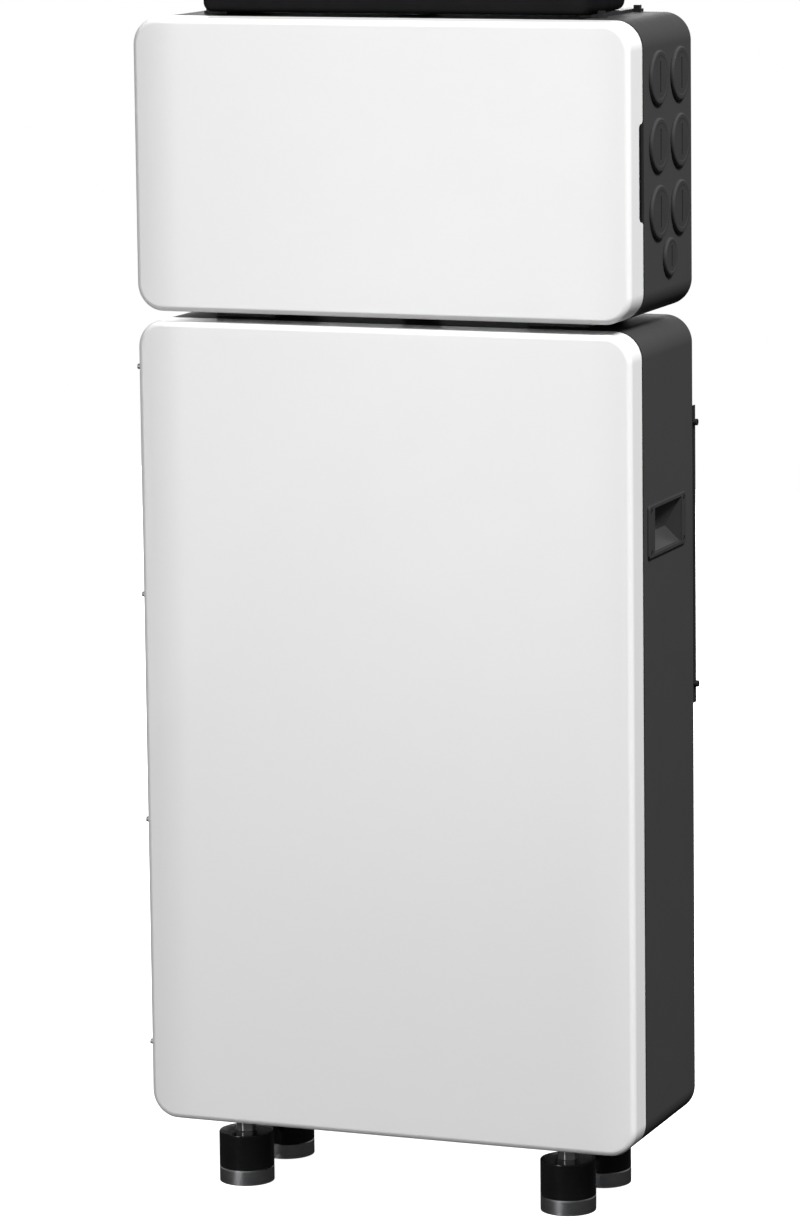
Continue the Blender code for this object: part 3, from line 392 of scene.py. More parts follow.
zincLook = {"color": (0.50, 0.51, 0.52), "roughness": 0.40, "lines": (900, 900, 30), "stainScale": 12.0,
            "lineStrength": 0.06}
footSteelLook = {"color": (0.74, 0.75, 0.77), "roughness": 0.34, "lines": (6, 6, 1500),
                 "stainScale": 25.0, "lineStrength": 0.25}
studLook = {"color": (0.88, 0.88, 0.89), "roughness": 0.36, "lines": (60, 60, 300), "stainScale": 60.0,
            "lineStrength": 0.2}
copperLook = {"color": (0.72, 0.33, 0.18), "roughness": 0.30, "lines": (8, 900, 900),
              "stainScale": 40.0, "lineStrength": 0.2}
brassLook = {"color": (0.74, 0.56, 0.26), "roughness": 0.30, "lines": (8, 900, 900), "stainScale": 40.0,
             "lineStrength": 0.2}
finLook = {"color": (0.52, 0.52, 0.54), "roughness": 0.38, "lines": (1200, 1200, 6), "stainScale": 18.0,
           "lineStrength": 0.25}

whitePaint = coated("whitePaint", whiteLook)
darkPaint = coated("darkPaint", darkLook)
darkPlastic = coated("darkPlastic", plasticLook)
sealFoam = coated("sealFoam", sealLook)
blackSteel = coated("blackSteel", blackSteelLook)
footBlack = coated("footBlack", footBlackLook)
inverterPaint = coated("inverterPaint", inverterLook)
cellWrap = coated("cellWrap", cellLook)
breakerShell = coated("breakerShell", shellLook)
toggleBlack = coated("toggleBlack", toggleLook)
boardGreen = coated("boardGreen", boardLook)
zincPlate = worked("zincPlate", zincLook)
footSteel = worked("footSteel", footSteelLook)
studSteel = worked("studSteel", studLook)
copperBar = worked("copperBar", copperLook)
brassBar = worked("brassBar", brassLook)
finAluminium = worked("finAluminium", finLook)
print("finishes made")


# covers and chassis
shell = {
    "corner": 0.035, "arcSteps": 24,
    "coverWall": 0.0025, "coverFillet": 0.0075, "coverLip": 0.012,
    "bow": 0.003, "bowWidth": 0.056, "bowStations": 12, "rimRound": 0.0006,
    "chassisWall": 0.002, "chassisLip": 0.016, "rearRound": 0.003, "frontRound": 0.0010,
    "gasketInset": 0.003, "gasketWidth": 0.009, "gasketCrown": 0.0008,
    "faceRing": 0.022, "coverSteps": 12, "chassisSteps": 8, "creaseAngle": 40,
    "apertureShrink": (0.012, -0.014, -0.006), "plugSeat": 0.0047, "plugs": range(1, 8),
}
frontY = cadLow.y
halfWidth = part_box("battery_cover")[1].x


bowStart = halfWidth - shell["coverFillet"] - shell["bowWidth"]


def sideBow(x):  # how far the front falls back towards its sides
    share = max((abs(x) - bowStart) / shell["bowWidth"], 0.0)
    return shell["bow"] * share ** 2


def boxRings(path, low, high, bowUntil=0.0):
    halfHeight = (high.z - low.z) / 2
    centreZ = (high.z + low.z) / 2
    end = halfWidth - shell["corner"]
    count = shell["bowStations"]
    right = [bowStart + (end - bowStart) * i / count for i in range(count)]
    stations = [-x for x in reversed(right)] + right
    rings = []
    for inset, depth in path:
        outline = roundedOutline(halfWidth - inset, halfHeight - inset, max(shell["corner"] - inset, 0.001),
                                 shell["arcSteps"], stations)
        lean = sideBow if depth < bowUntil else (lambda x: 0.0)
        rings.append([(x, frontY + depth + lean(x), centreZ + z) for x, z in outline])
    return rings


def makeCover(node):
    low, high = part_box(node)
    skirt = high.y - frontY
    wall, lip, fillet = shell["coverWall"], shell["coverLip"], shell["coverFillet"]
    line = [(shell["faceRing"], wall), (wall, wall), (wall, skirt - wall), (lip, skirt - wall), (lip, skirt),
            (0.0, skirt), (0.0, 0.0), (shell["faceRing"], 0.0)]
    rim = shell["rimRound"]
    path = roundPath(line, (fillet - wall, rim, rim / 2, rim / 2, rim, fillet), shell["coverSteps"])
    bm = bmesh.new()
    skin(bm, boxRings(path, low, high, skirt / 2), strips=True)
    return addPiece(node + "_shell", bm, whitePaint, angle=shell["creaseAngle"])


def makeChassis(node):
    low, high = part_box(node)
    front, back = low.y - frontY, high.y - frontY
    wall, lip = shell["chassisWall"], shell["chassisLip"]
    line = [(shell["faceRing"], back - wall), (wall, back - wall), (wall, front + wall), (lip, front + wall),
            (lip, front), (0.0, front), (0.0, back), (shell["faceRing"], back)]
    edge = shell["frontRound"]
    radii = (edge / 2, edge / 2, edge / 4, edge / 4, edge, shell["rearRound"])
    path = roundPath(line, radii, shell["chassisSteps"])
    bm = bmesh.new()
    skin(bm, boxRings(path, low, high), strips=True)
    return addPiece(node + "_shell", bm, darkPaint, angle=shell["creaseAngle"])


def makeGasket(node):
    low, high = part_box(node)
    inset, width, crown = shell["gasketInset"], shell["gasketWidth"], shell["gasketCrown"]
    front, back = low.y - frontY, high.y - frontY
    path = [(inset + crown, front), (inset, front + crown), (inset, back - crown), (inset + crown, back),
            (inset + width, back), (inset + width, front)]
    bm = bmesh.new()
    outer = Vector((0, 0, inset))
    skin(bm, boxRings(path, low - outer, high + outer), closed=True)
    settle(addPiece(node + "_foam", bm, sealFoam), node)


grip = {"length": 0.121, "depth": 0.0145, "centreZ": -0.0013, "corner": 0.007, "steps": 12,
        "behindRim": 0.002, "mouthLap": 0.0003, "insideLap": 0.001, "outsideLap": 0.005}


def gripTool(node, side):
    low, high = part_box(node)
    rim = high.y
    bottom = rim - grip["depth"]
    half, r = grip["length"] / 2, grip["corner"]
    outline = [(rim + grip["behindRim"], half + r)]
    for i in range(grip["steps"] + 1):
        angle = quarter * i / grip["steps"]
        outline.append((rim - r + r * math.cos(angle) + grip["mouthLap"], half + r - r * math.sin(angle)))
    for i in range(grip["steps"] + 1):
        angle = quarter * i / grip["steps"]
        outline.append((bottom + r - r * math.sin(angle), half - r + r * math.cos(angle)))
    outline += [(y, -z) for y, z in reversed(outline)]
    inside = side * (halfWidth - shell["coverLip"] - grip["insideLap"])
    outside = side * (halfWidth + grip["outsideLap"])
    centreZ = (low.z + high.z) / 2 + grip["centreZ"]
    return prismTool("gripTool", outline, min(inside, outside), max(inside, outside), (0, 0, centreZ))


def sideHole(centre, radius, reach=0.01):
    return turned("holeTool", [(radius, -reach), (radius, reach)], None, centre, alongX, 64)


def makeBoxes():
    crease = shell["creaseAngle"]
    settle(makeCover("battery_cover"), "battery_cover")
    wiringCover = makeCover("wiring_cover")
    applyCuts(wiringCover, [gripTool("wiring_cover", side) for side in (-1, 1)], crease)
    settle(wiringCover, "wiring_cover")

    batteryChassis = makeChassis("battery_chassis")
    tools = []
    shrink = Vector(shell["apertureShrink"])
    for node in ("handle_right", "handle_left"):
        low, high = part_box(node)
        tools.append(boxTool("apertureTool", low - shrink, high + shrink))
    applyCuts(batteryChassis, tools, crease)
    settle(batteryChassis, "battery_chassis")

    wiringChassis = makeChassis("wiring_chassis")
    tools = []
    for i in shell["plugs"]:
        low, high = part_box(f"conduit_plug_{i}")
        centre = (low + high) / 2
        tools.append(sideHole((halfWidth, centre.y, centre.z), (high.z - low.z) / 2 - shell["plugSeat"]))
    applyCuts(wiringChassis, tools, crease)
    settle(wiringChassis, "wiring_chassis")
    for node in ("battery_gasket", "wiring_gasket"):
        makeGasket(node)
    print("boxes made")


# side plugs
plug = {"rim": 0.0030, "slotWidth": 0.0034, "slotDepth": 0.0030, "slotShare": 0.594, "slotSteps": 12,
        "spigotStep": 0.005, "steps": 128, "rimSteps": 12, "faceDrop": 0.0004, "faceShare": 0.80,
        "standOff": 0.0003, "ramp": 0.001, "centreRadius": 0.004, "crease": 0.0002, "dish": 0.0005}


def slotTool(place, length, width, depth, above=0.01):
    outline = []
    end, steps = width / 2, plug["slotSteps"]
    for side in (1, -1):
        for i in range(steps + 1):
            angle = math.pi * i / steps
            outline.append((side * end * math.cos(angle), side * (length / 2 - end + end * math.sin(angle))))
    return prismTool("slotTool", outline, -depth, above, place)


def makePlugs():
    for i in shell["plugs"]:
        node = f"conduit_plug_{i}"
        low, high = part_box(node)
        radius = (high.z - low.z) / 2
        top = high.x - halfWidth
        inner = low.x - halfWidth
        face, spigot = radius * plug["faceShare"], radius - plug["spigotStep"]
        rim, drop, standOff = plug["rim"], plug["faceDrop"], plug["standOff"]
        line = [(spigot, inner), (spigot, standOff), (radius, standOff), (radius, top),
                (face, top - drop * 0.2), (face - plug["ramp"], top - drop),
                (plug["centreRadius"], top - drop)]
        radii = (plug["crease"], plug["crease"], rim, plug["dish"], plug["dish"])
        path = roundPath(line, radii, plug["rimSteps"])
        place = (halfWidth, (low.y + high.y) / 2, (low.z + high.z) / 2)
        piece = turned(node + "_moulding", path, darkPlastic, place, alongX, plug["steps"])
        slotPlace = (high.x - drop, place[1], place[2])
        slotLength = 2 * radius * plug["slotShare"]
        applyCuts(piece, [slotTool(slotPlace, slotLength, plug["slotWidth"], plug["slotDepth"])])
        settle(piece, node)
    print("plugs made")


# recessed handles
handle = {
    "corner": 0.005, "edge": 0.0012, "edgeSteps": 6, "cornerSteps": 10, "backInset": 0.012,
    "standOff": 0.0003, "mouth": (0.106, 0.057), "mouthShift": 0.002, "cupDepth": 0.017, "wall": 0.002,
    "cupLap": 0.0015, "floorRear": 0.008, "floorFront": 0.012, "floorLift": 0.020, "ceilingDrop": 0.007,
    "screwRadius": 0.0032, "screwInset": (0.0088, 0.0072), "sinkGap": 0.0005, "sinkDepth": 0.0018,
    "softEdge": 0.0006, "softAngle": 38,
    "headBack": 0.0017, "headSide": 0.0004, "headCrown": 0.0002, "driveLength": 0.002, "driveWidth": 0.0007,
    "driveDepth": 0.0008,
}


def cupHull(side, grow, outer, inner, place):
    halfLength, halfHeight = handle["mouth"][0] / 2, handle["mouth"][1] / 2
    mouth = [(y, z) for z in (halfHeight, -halfHeight) for y in (-halfLength, halfLength)]
    rear, front = halfLength - handle["floorRear"], handle["floorFront"] - halfLength
    bottom = handle["floorLift"] - halfHeight
    floor = [(rear, bottom), (front, bottom), (front, halfHeight - handle["ceilingDrop"])]
    bm = bmesh.new()
    for points, out in ((mouth, outer), (mouth, 0.0), (floor, -inner)):
        for y, z in points:
            y += math.copysign(grow, y) + handle["mouthShift"]
            bm.verts.new((side * out, y, z + math.copysign(grow, z)))
    bmesh.ops.convex_hull(bm, input=bm.verts)
    return addPiece("cupTool", bm, None, place)


def makeHandle(node, side):
    low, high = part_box(node)
    plate = abs(high.x if side > 0 else low.x) - halfWidth
    halfLength, halfHeight = (high.y - low.y) / 2, (high.z - low.z) / 2
    place = Vector((side * halfWidth, (low.y + high.y) / 2, (low.z + high.z) / 2))
    back, standOff = handle["backInset"], handle["standOff"]
    line = [(back, standOff), (0.0, standOff), (0.0, plate), (back, plate)]
    bm = bmesh.new()
    rings = []
    for inset, out in roundPath(line, (0.0002, handle["edge"]), handle["edgeSteps"]):
        corner = max(handle["corner"] - inset, 0.0005)
        outline = roundedOutline(halfLength - inset, halfHeight - inset, corner, handle["cornerSteps"])
        rings.append([(side * out, y, z) for y, z in outline])
    skin(bm, rings)
    piece = addPiece(node + "_moulding", bm, darkPlastic, place)
    union = piece.modifiers.new("cup", "BOOLEAN")
    cup = cupHull(side, handle["wall"], handle["cupLap"], handle["cupDepth"] + handle["wall"], place)
    union.object = cup
    union.operation = "UNION"
    tools = [cupHull(side, 0.0, plate * 2, handle["cupDepth"], place)]
    screws = []
    insetY, insetZ = handle["screwInset"]
    radius, deep = handle["screwRadius"] + handle["sinkGap"], handle["sinkDepth"]
    for endY in (-1, 1):
        for endZ in (-1, 1):
            spot = (place.x + side * plate, place.y + endY * (halfLength - insetY),
                    place.z + endZ * (halfHeight - insetZ))
            screws.append(spot)
            tools.append(turned("sinkTool", [(radius, -deep), (radius, 0.002)], None, spot, alongX, 32))
    applyCuts(piece, tools)
    bpy.data.objects.remove(cup)
    roundEdges(piece, handle["softEdge"], 3, handle["softAngle"])
    settle(piece, node)
    for i, spot in enumerate(screws):
        makeScrewHead(f"{node}_screw_{i + 1}", spot, side, handle["screwRadius"], node)


def makeScrewHead(name, spot, side, radius, node):
    turn = alongX if side > 0 else alongMinusX
    line = [(radius * 0.6, -handle["headBack"]), (radius, 0.0001 - handle["headBack"]),
            (radius, -handle["headSide"]), (0.0008, handle["headCrown"])]
    screw = turned(name, roundPath(line, (0.0001, 0.0006), 4), blackSteel, spot, turn, 32)
    slots = []
    long, narrow = handle["driveLength"], handle["driveWidth"]
    for y, z in ((long, narrow), (narrow, long)):
        half = Vector((handle["driveDepth"], y, z))
        slots.append(boxTool("driveTool", Vector(spot) - half, Vector(spot) + half))
    applyCuts(screw, slots)
    trim(screw, node)


# feet
foot = {"steps": 96, "chamfer": 0.0012, "edge": 0.0006, "gap": 0.0002, "bore": 0.006, "baseBore": 0.005,
        "hexFlats": 0.023, "hexCone": 0.0016, "hexTopGap": 0.0003, "hexCorner": 0.97}


def hexRing(height, reachLimit, steps, flats):
    ring = []
    for i in range(steps):
        angle = 2 * math.pi * (i + 0.5) / steps
        offFlat = (angle + math.pi / 6) % (math.pi / 3) - math.pi / 6
        reach = min(flats / 2 / math.cos(offFlat), reachLimit)
        ring.append((reach * math.cos(angle), reach * math.sin(angle), height))
    return ring


def makeHexagon(name, start, end, place):  # the nut on the stud, with chamfered corners
    flats, cone = foot["hexFlats"], foot["hexCone"]
    least, most = flats / 2 * foot["hexCorner"], flats / math.sqrt(3)
    levels = [(start, 0.5), (start + cone * 0.5, 1.0), (end - cone, 1.0), (end - cone * 0.35, 0.45),
              (end, 0.0)]
    rings = [hexRing(z, least + (most - least) * share, foot["steps"], flats) for z, share in levels]
    bm = bmesh.new()
    skin(bm, rings)
    return addPiece(name, bm, studSteel, place, 20)


def makeFeet():
    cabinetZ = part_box("battery_chassis")[0].z
    chamfer, edge, gap, steps = foot["chamfer"], foot["edge"], foot["gap"], foot["steps"]
    for i in range(1, 5):
        core, sleeve = f"foot_core_{i}", f"foot_sleeve_{i}"
        low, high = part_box(core)
        sleeveLow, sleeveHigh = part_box(sleeve)
        radius = (sleeveHigh.x - sleeveLow.x) / 2
        place = ((low.x + high.x) / 2, (low.y + high.y) / 2, 0)
        base, top = sleeveLow.z, sleeveHigh.z
        seat = base - gap
        line = [(radius * 0.9, low.z), (radius, low.z), (radius, seat - chamfer), (radius - chamfer, seat),
                (foot["baseBore"], seat)]
        profile = roundPath(line, (edge, 0.0003, 0.0002), 6)
        settle(turned(f"foot_base_{i}", profile, footSteel, place, None, steps), core)
        line = [(foot["bore"], base), (radius, base), (radius, top), (foot["bore"], top)]
        profile = roundPath(line, (edge, edge * 2), 6)
        settle(turned(f"foot_boss_{i}", profile, footBlack, place, None, steps), sleeve)
        hexagon = makeHexagon(f"foot_hexagon_{i}", top + gap, cabinetZ - foot["hexTopGap"], place)
        trim(hexagon, core)
    print("feet made")


# screws and bolts
fastener = {"largeRadius": 0.004, "largeHead": 0.005, "smallHead": 0.004, "shank": 0.45, "round": 0.16,
            "faceShare": 0.3, "socketShare": 0.5, "socketDepth": 0.55, "steps": 48, "socketSteps": 24}


def makeSocketScrew(node, name, turn, finish):
    low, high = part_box(node)
    radius, length = (high.z - low.z) / 2, high.x - low.x
    outer = high.x if low.x > 0 else low.x
    thick = fastener["largeHead"] if radius > fastener["largeRadius"] else fastener["smallHead"]
    shank, face = radius * fastener["shank"], radius * fastener["faceShare"]
    line = [(shank, -length), (shank, -thick), (radius, -thick), (radius, 0.0), (face, 0.0)]
    place = (outer, (low.y + high.y) / 2, (low.z + high.z) / 2)
    profile = roundPath(line, (0.0001, 0.0002, radius * fastener["round"]), 6)
    piece = turned(name, profile, finish, place, turn, fastener["steps"])
    bm = bmesh.new()
    flats, depth = radius * 2 * fastener["socketShare"], thick * fastener["socketDepth"]
    skin(bm, [hexRing(height, 1.0, fastener["socketSteps"], flats) for height in (-depth, 0.001)])
    bmesh.ops.transform(bm, matrix=turn, verts=bm.verts)
    applyCuts(piece, [addPiece("socketTool", bm, None, place)])
    settle(piece, node)


def makeFasteners():
    for i in range(1, 5):
        makeSocketScrew(f"cover_screw_{i}", f"cover_screw_head_{i}", alongMinusX, zincPlate)
        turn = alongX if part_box(f"bracket_bolt_{i}")[0].x > 0 else alongMinusX
        makeSocketScrew(f"bracket_bolt_{i}", f"bracket_bolt_head_{i}", turn, blackSteel)
    print("fasteners made")


# nodes that keep their shape, with the finish and the width of their rounded edges
plainEdge = 0.0006
carried = {
    "wall_bracket": (blackSteel, 0.0005), "hanger_frame": (zincPlate, 0.0004),
    "cover_stiffener": (zincPlate, plainEdge), "battery_nipple": (zincPlate, plainEdge),
    "inverter_nipple": (zincPlate, plainEdge), "stack_spacer_left": (blackSteel, plainEdge),
    "stack_spacer_right": (blackSteel, plainEdge), "inverter_rail_left": (blackSteel, plainEdge),
    "inverter_rail_right": (blackSteel, plainEdge), "module_tray": (zincPlate, plainEdge),
    "module_clamp": (zincPlate, plainEdge), "module_link": (copperBar, plainEdge),
    "cell_module_left": (cellWrap, 0.0010), "cell_module_right": (cellWrap, 0.0010),
    "battery_manager": (inverterPaint, 0.0010), "battery_fuse": (breakerShell, plainEdge),
    "din_rail": (zincPlate, 0.0003), "battery_breaker": (breakerShell, plainEdge),
    "backup_breaker": (breakerShell, plainEdge), "grid_breaker": (breakerShell, plainEdge),
    "battery_toggle": (toggleBlack, plainEdge), "backup_toggle": (toggleBlack, plainEdge),
    "grid_toggle": (toggleBlack, plainEdge), "ground_bar": (brassBar, plainEdge),
    "control_board": (boardGreen, 0.0003), "inverter_board": (boardGreen, 0.0003),
    "inverter_front": (inverterPaint, 0.0012), "inverter_case": (inverterPaint, 0.0010),
    "heat_sink": (finAluminium, 0.0004),
}


def dressCarried():
    for node, (finish, edge) in carried.items():
        obj = frame["nodes"][node]
        obj.data.materials.clear()
        obj.data.materials.append(finish)
        roundEdges(obj, edge, 2, 40)
    print("carried nodes dressed")


# small parts on the nodes that keep their shape
sink = 0.0002  # how deep a small part sits in the face behind it
breaker = {"poles": 3, "pitch": 0.018, "shoulder": 0.044, "screwRadius": 0.0034, "screwHeight": 0.0012,
           "wellRadius": 0.0052, "wellHeight": 0.0006, "wellDimple": 0.8, "screwInset": 0.010,
           "seam": 0.0006, "seamInset": 0.001, "seamEnd": 0.019, "seamDepth": 0.002}


def makeBreakerTrim(node):
    low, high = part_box(node)
    middle = (low.x + high.x) / 2
    face = high.y - breaker["shoulder"]
    inset, end, half = breaker["seamInset"], breaker["seamEnd"], breaker["seam"] / 2
    wells, screws, seams = [], [], []
    for pole in range(breaker["poles"]):
        x = middle + (pole - (breaker["poles"] - 1) / 2) * breaker["pitch"]
        for z in (low.z + breaker["screwInset"], high.z - breaker["screwInset"]):
            wells.append((x, face, z))
            screws.append((x, face - breaker["wellHeight"] * 0.5, z))
    for seam in range(1, breaker["poles"]):
        x = middle + (seam - breaker["poles"] / 2) * breaker["pitch"]
        for bottom, top in ((low.z + inset, low.z + end), (high.z - end, high.z - inset)):
            seams.append(((x - half, face - half, bottom), (x + half, face + breaker["seamDepth"], top)))
    wellPiece = heads(f"{node}_wells", wells, breaker["wellRadius"], breaker["wellHeight"], toggleBlack,
                      dimple=breaker["wellDimple"])
    trim(wellPiece, node)
    screwPiece = heads(f"{node}_screws", screws, breaker["screwRadius"], breaker["screwHeight"], zincPlate)
    trim(screwPiece, node)
    trim(cluster(f"{node}_seams", seams, toggleBlack, 0.0001), node)


bar = {"screws": 8, "pitch": 0.016, "radius": 0.0036, "height": 0.0022}


def makeBarScrews():
    low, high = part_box("ground_bar")
    first = (low.x + high.x) / 2 - (bar["screws"] - 1) / 2 * bar["pitch"]
    z = (low.z + high.z) / 2
    spots = [(first + i * bar["pitch"], low.y + sink, z) for i in range(bar["screws"])]
    screwPiece = heads("ground_bar_screws", spots, bar["radius"], bar["height"], zincPlate)
    trim(screwPiece, "ground_bar")


cells = {"count": 8, "endPlate": 0.012, "strapX": 0.055, "strapWidth": 0.026, "strapHalf": 0.021,
         "strapShare": 0.32, "strap": 0.0016, "nutRadius": 0.0055, "nutHeight": 0.0035, "nutShare": 0.55,
         "nutSeat": 0.9, "nutDimple": 0.6}


def makeCellTrim(node):  # straps join each cell to the next, left and right in turn
    low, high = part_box(node)
    middle = (low.x + high.x) / 2
    face = low.y + sink
    pitch = (high.z - low.z - 2 * cells["endPlate"]) / cells["count"]
    reach = min(cells["strapHalf"], pitch * cells["strapShare"])
    half, thick = cells["strapWidth"] / 2, cells["strap"]
    straps, nuts = [], []
    for i in range(1, cells["count"]):
        x = middle + (cells["strapX"] if i % 2 else -cells["strapX"])
        z = low.z + cells["endPlate"] + i * pitch
        straps.append(((x - half, face - thick, z - reach), (x + half, face, z + reach)))
        for side in (-1, 1):
            nuts.append((x, face - thick * cells["nutSeat"], z + side * reach * cells["nutShare"]))
    trim(cluster(f"{node}_straps", straps, copperBar), node)
    nutPiece = heads(f"{node}_nuts", nuts, cells["nutRadius"], cells["nutHeight"], zincPlate,
                     dimple=cells["nutDimple"])
    trim(nutPiece, node)


controlBoard = {  # each chip: share of the board's width and height, then width, height and depth
    "chips": [(0.12, 0.80, 0.022, 0.022, 0.0026), (0.34, 0.78, 0.012, 0.016, 0.0022),
              (0.50, 0.80, 0.030, 0.010, 0.0020), (0.22, 0.40, 0.014, 0.010, 0.0018),
              (0.40, 0.44, 0.018, 0.018, 0.0028), (0.76, 0.74, 0.036, 0.014, 0.0090)],
    "terminals": 8, "terminalDepth": 0.010,
}
inverterBoard = {
    "chips": [(0.15, 0.84, 0.050, 0.028, 0.0034), (0.32, 0.84, 0.036, 0.028, 0.0034),
              (0.50, 0.84, 0.050, 0.028, 0.0034), (0.70, 0.84, 0.036, 0.028, 0.0034),
              (0.86, 0.84, 0.036, 0.028, 0.0034), (0.20, 0.55, 0.030, 0.030, 0.0026),
              (0.45, 0.58, 0.016, 0.050, 0.0026), (0.55, 0.58, 0.016, 0.050, 0.0026),
              (0.78, 0.52, 0.044, 0.030, 0.0030), (0.14, 0.24, 0.024, 0.016, 0.0022),
              (0.36, 0.22, 0.040, 0.018, 0.0026), (0.66, 0.22, 0.060, 0.022, 0.0034)],
    "terminals": 12, "terminalDepth": 0.0035,
}
terminal = {"width": 0.012, "height": 0.014, "gap": 0.0008, "left": 0.014, "lift": 0.004,
            "screwRadius": 0.0032, "screwHeight": 0.0008}


def makeBoardParts(node, plan):
    low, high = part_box(node)
    face = low.y + sink
    chips, blocks, screws = [], [], []
    for across, up, width, height, deep in plan["chips"]:
        x = low.x + across * (high.x - low.x)
        z = low.z + up * (high.z - low.z)
        chips.append(((x - width / 2, face - deep, z - height / 2), (x + width / 2, face, z + height / 2)))
    width, height, front = terminal["width"], terminal["height"], face - plan["terminalDepth"]
    z = low.z + terminal["lift"]
    for i in range(plan["terminals"]):
        x = low.x + terminal["left"] + i * (width + terminal["gap"])
        blocks.append(((x, front, z), (x + width, face, z + height)))
        screws.append((x + width / 2, front + sink, z + height / 2))
    trim(cluster(f"{node}_chips", chips, toggleBlack), node)
    trim(cluster(f"{node}_terminals", blocks, breakerShell), node)
    screwPiece = heads(f"{node}_screws", screws, terminal["screwRadius"], terminal["screwHeight"], zincPlate)
    trim(screwPiece, node)


manager = {"screwInset": 0.0096, "screwRadius": 0.0035, "screwHeight": 0.0022, "flange": 0.006,
           "screwSink": 0.0001, "sockets": 4, "socketPitch": 0.046, "socketSize": (0.030, 0.005, 0.016),
           "socketLift": 0.026, "mouthWidth": 0.4, "mouthLow": 0.2, "mouthHigh": 0.8}


def makeManagerTrim():
    node = "battery_manager"
    low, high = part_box(node)
    inset, y = manager["screwInset"], high.y - manager["flange"] + manager["screwSink"]
    spots = [(x, y, z) for x in (low.x + inset, high.x - inset) for z in (low.z + inset, high.z - inset)]
    trim(heads(f"{node}_screws", spots, manager["screwRadius"], manager["screwHeight"], zincPlate),
         node)
    width, depth, height = manager["socketSize"]
    z, front, mouth = low.z + manager["socketLift"], low.y - depth, width * manager["mouthWidth"]
    sockets, mouths = [], []
    for i in range(manager["sockets"]):
        x = (low.x + high.x) / 2 + (i - (manager["sockets"] - 1) / 2) * manager["socketPitch"]
        sockets.append(((x - width / 2, front, z), (x + width / 2, low.y + 0.0005, z + height)))
        mouths.append(((x - mouth, front - 0.0004, z + height * manager["mouthLow"]),
                       (x + mouth, front + 0.001, z + height * manager["mouthHigh"])))
    trim(cluster(f"{node}_sockets", sockets, breakerShell, 0.0006), node)
    trim(cluster(f"{node}_mouths", mouths, toggleBlack, 0.0002), node)


fuse = {"band": 0.004, "grow": 0.0004, "ramp": 0.0005, "inset": 0.0165}


def makeFuseBands():
    low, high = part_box("battery_fuse")
    middle = (low + high) / 2
    radius = (high.z - low.z) / 2
    band, ramp = fuse["band"], fuse["ramp"]
    rim, raised = radius + fuse["grow"] * 0.4, radius + fuse["grow"]
    profile = [(rim, 0.0), (raised, ramp), (raised, band - ramp), (rim, band)]
    for name, x in (("left", low.x + fuse["inset"] + band), ("right", high.x - fuse["inset"])):
        piece = turned(f"battery_fuse_band_{name}", profile, copperBar, (x, middle.y, middle.z), alongMinusX,
                       bore=radius - ramp)
        trim(piece, "battery_fuse")


inverter = {"screwInset": 0.030, "screwRadius": 0.0045, "screwHeight": 0.0016, "sideScrews": 4,
            "window": (0.070, 0.0008, 0.012), "windowDrop": 0.060}


def makeInverterTrim():
    low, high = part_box("inverter_front")
    inset, radius, tall = inverter["screwInset"], inverter["screwRadius"], inverter["screwHeight"]
    spots = [(x, low.y + sink, z) for x in (low.x + inset, high.x - inset)
             for z in (low.z + inset, high.z - inset)]
    trim(heads("inverter_front_screws", spots, radius, tall, blackSteel), "inverter_front")
    width, depth, height = inverter["window"]
    middle, z = (low.x + high.x) / 2, high.z - inverter["windowDrop"]
    window = [((middle - width / 2, low.y - depth, z), (middle + width / 2, low.y + 0.0005, z + height))]
    trim(cluster("inverter_window", window, footBlack, 0.0003), "inverter_front")
    low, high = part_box("inverter_case")
    step = (high.z - low.z - 2 * inset) / (inverter["sideScrews"] - 1)
    for side, x, turn in (("left", low.x, alongMinusX), ("right", high.x, alongX)):
        spots = [(x, (low.y + high.y) / 2, low.z + inset + i * step) for i in range(inverter["sideScrews"])]
        piece = heads(f"inverter_side_screws_{side}", spots, radius, tall, blackSteel, turn)
        trim(piece, "inverter_case")


clamp = {"reach": 0.12, "radius": 0.006, "height": 0.003, "sheet": 0.003, "drop": 0.012, "screwSink": 0.0001}


def makeClampScrews():
    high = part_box("module_clamp")[1]
    y, z = high.y - clamp["sheet"] + clamp["screwSink"], high.z - clamp["drop"]
    spots = [(x, y, z) for x in (-clamp["reach"], 0.0, clamp["reach"])]
    piece = heads("module_clamp_screws", spots, clamp["radius"], clamp["height"], zincPlate)
    trim(piece, "module_clamp")


def makeSmallParts():
    for node in ("battery_breaker", "backup_breaker", "grid_breaker"):
        makeBreakerTrim(node)
    makeBarScrews()
    for node in ("cell_module_left", "cell_module_right"):
        makeCellTrim(node)
    makeBoardParts("control_board", controlBoard)
    makeBoardParts("inverter_board", inverterBoard)
    makeManagerTrim()
    makeFuseBands()
    makeInverterTrim()
    makeClampScrews()
    print("small parts made")


# floor, light and background
studio = {
    "skyLight": 0.34, "groundLight": 0.02, "horizon": (-0.1, 0.6),
    "floorSize": 12.0, "floorTone": 0.93, "floorScale": 1.5,
    "frontPanel": {"place": (-1.85, -5.7, 1.9), "aim": (0.0, 0.0, 1.0), "size": (1.4, 5.0), "radiance": 4.6},
    "rightPanel": {"place": (5.6, -2.1, 8.6), "aim": (0.0, 0.0, 1.0), "size": (2.0, 2.0), "radiance": 118.0},
    "topPanel": {"place": (0.0, -3.8, 4.2), "aim": (0.0, 0.0, 1.0), "size": (4.5, 2.6), "radiance": 0.45},
    "backPanel": {"place": (-1.9, 5.2, 2.2), "aim": (0.0, 0.0, 1.0), "size": (2.0, 4.0), "radiance": 4.0},
    "fillPanel": {"place": (-0.6, -4.6, 0.6), "aim": (0.0, 0.0, 0.5), "size": (3.2, 2.0), "radiance": 2.5},
}


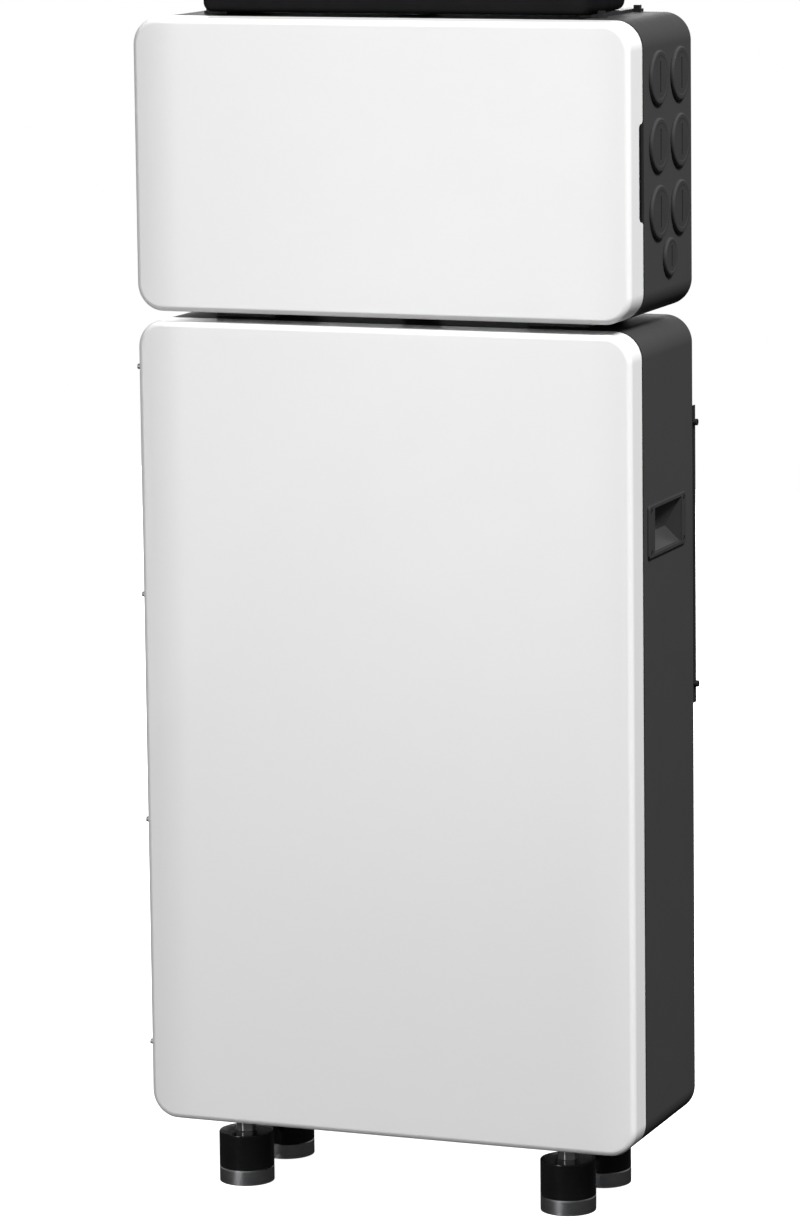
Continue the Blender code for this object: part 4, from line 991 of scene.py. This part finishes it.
def makePanel(name, setup):
    data = bpy.data.lights.new(name, "AREA")
    data.shape = "RECTANGLE"
    data.size, data.size_y = setup["size"]
    data.energy = setup["radiance"] * math.pi * data.size * data.size_y
    light = bpy.data.objects.new(name, data)
    light.location = setup["place"]
    direction = Vector(setup["aim"]) - Vector(setup["place"])
    light.rotation_euler = direction.to_track_quat("-Z", "Y").to_euler()
    light.visible_camera = False
    bpy.context.scene.collection.objects.link(light)


def makeWorld():  # white where the camera looks, a soft gradient for everything else
    world = bpy.data.worlds.new("studio")
    bpy.context.scene.world = world
    world.use_nodes = True
    nodes, links = world.node_tree.nodes, world.node_tree.links
    nodes.clear()
    output = nodes.new("ShaderNodeOutputWorld")
    seen = nodes.new("ShaderNodeBackground")
    seen.inputs["Color"].default_value = (1.0, 1.0, 1.0, 1.0)
    lit = nodes.new("ShaderNodeBackground")
    lit.inputs["Color"].default_value = (1.0, 1.0, 1.0, 1.0)
    path = nodes.new("ShaderNodeLightPath")
    choose = nodes.new("ShaderNodeMixShader")
    direction = nodes.new("ShaderNodeTexCoord")
    split = nodes.new("ShaderNodeSeparateXYZ")
    links.new(direction.outputs["Generated"], split.inputs[0])
    height = spread(nodes, links, split.outputs["Z"], studio["groundLight"], studio["skyLight"],
                    *studio["horizon"])
    links.new(height, lit.inputs["Strength"])
    links.new(path.outputs["Is Camera Ray"], choose.inputs[0])
    links.new(lit.outputs[0], choose.inputs[1])
    links.new(seen.outputs[0], choose.inputs[2])
    links.new(choose.outputs[0], output.inputs["Surface"])


def makeFloor():
    material, nodes, links, shader = newFinish("floorWhite")
    place = nodes.new("ShaderNodeTexCoord").outputs["Object"]
    tone = spread(nodes, links, noise(nodes, links, place, studio["floorScale"]), studio["floorTone"], 1.0)
    shader.inputs["Base Color"].default_value = (0.9, 0.9, 0.9, 1.0)
    shader.inputs["Roughness"].default_value = 0.9
    shader.inputs["Emission Color"].default_value = (1.0, 1.0, 1.0, 1.0)
    links.new(tone, shader.inputs["Emission Strength"])
    bm = bmesh.new()
    bmesh.ops.create_grid(bm, x_segments=1, y_segments=1, size=studio["floorSize"] / 2)
    floor = addPiece("floor", bm, material)
    floor.visible_diffuse = False
    floor.visible_glossy = False


def makeStudio():
    makeWorld()
    for panel in ("frontPanel", "rightPanel", "topPanel", "backPanel", "fillPanel"):
        makePanel(panel, studio[panel])
    for panel in ("fillPanel", "rightPanel"):  # these two light without a mirror image
        bpy.data.objects[panel].visible_glossy = False
    makeFloor()
    bpy.context.scene.view_settings.view_transform = "Standard"
    print("studio made")


makeCamera(cameraSetup)
makeBoxes()
makePlugs()
makeHandle("handle_right", 1)
makeHandle("handle_left", -1)
makeFeet()
makeFasteners()
dressCarried()
makeSmallParts()
makeStudio()
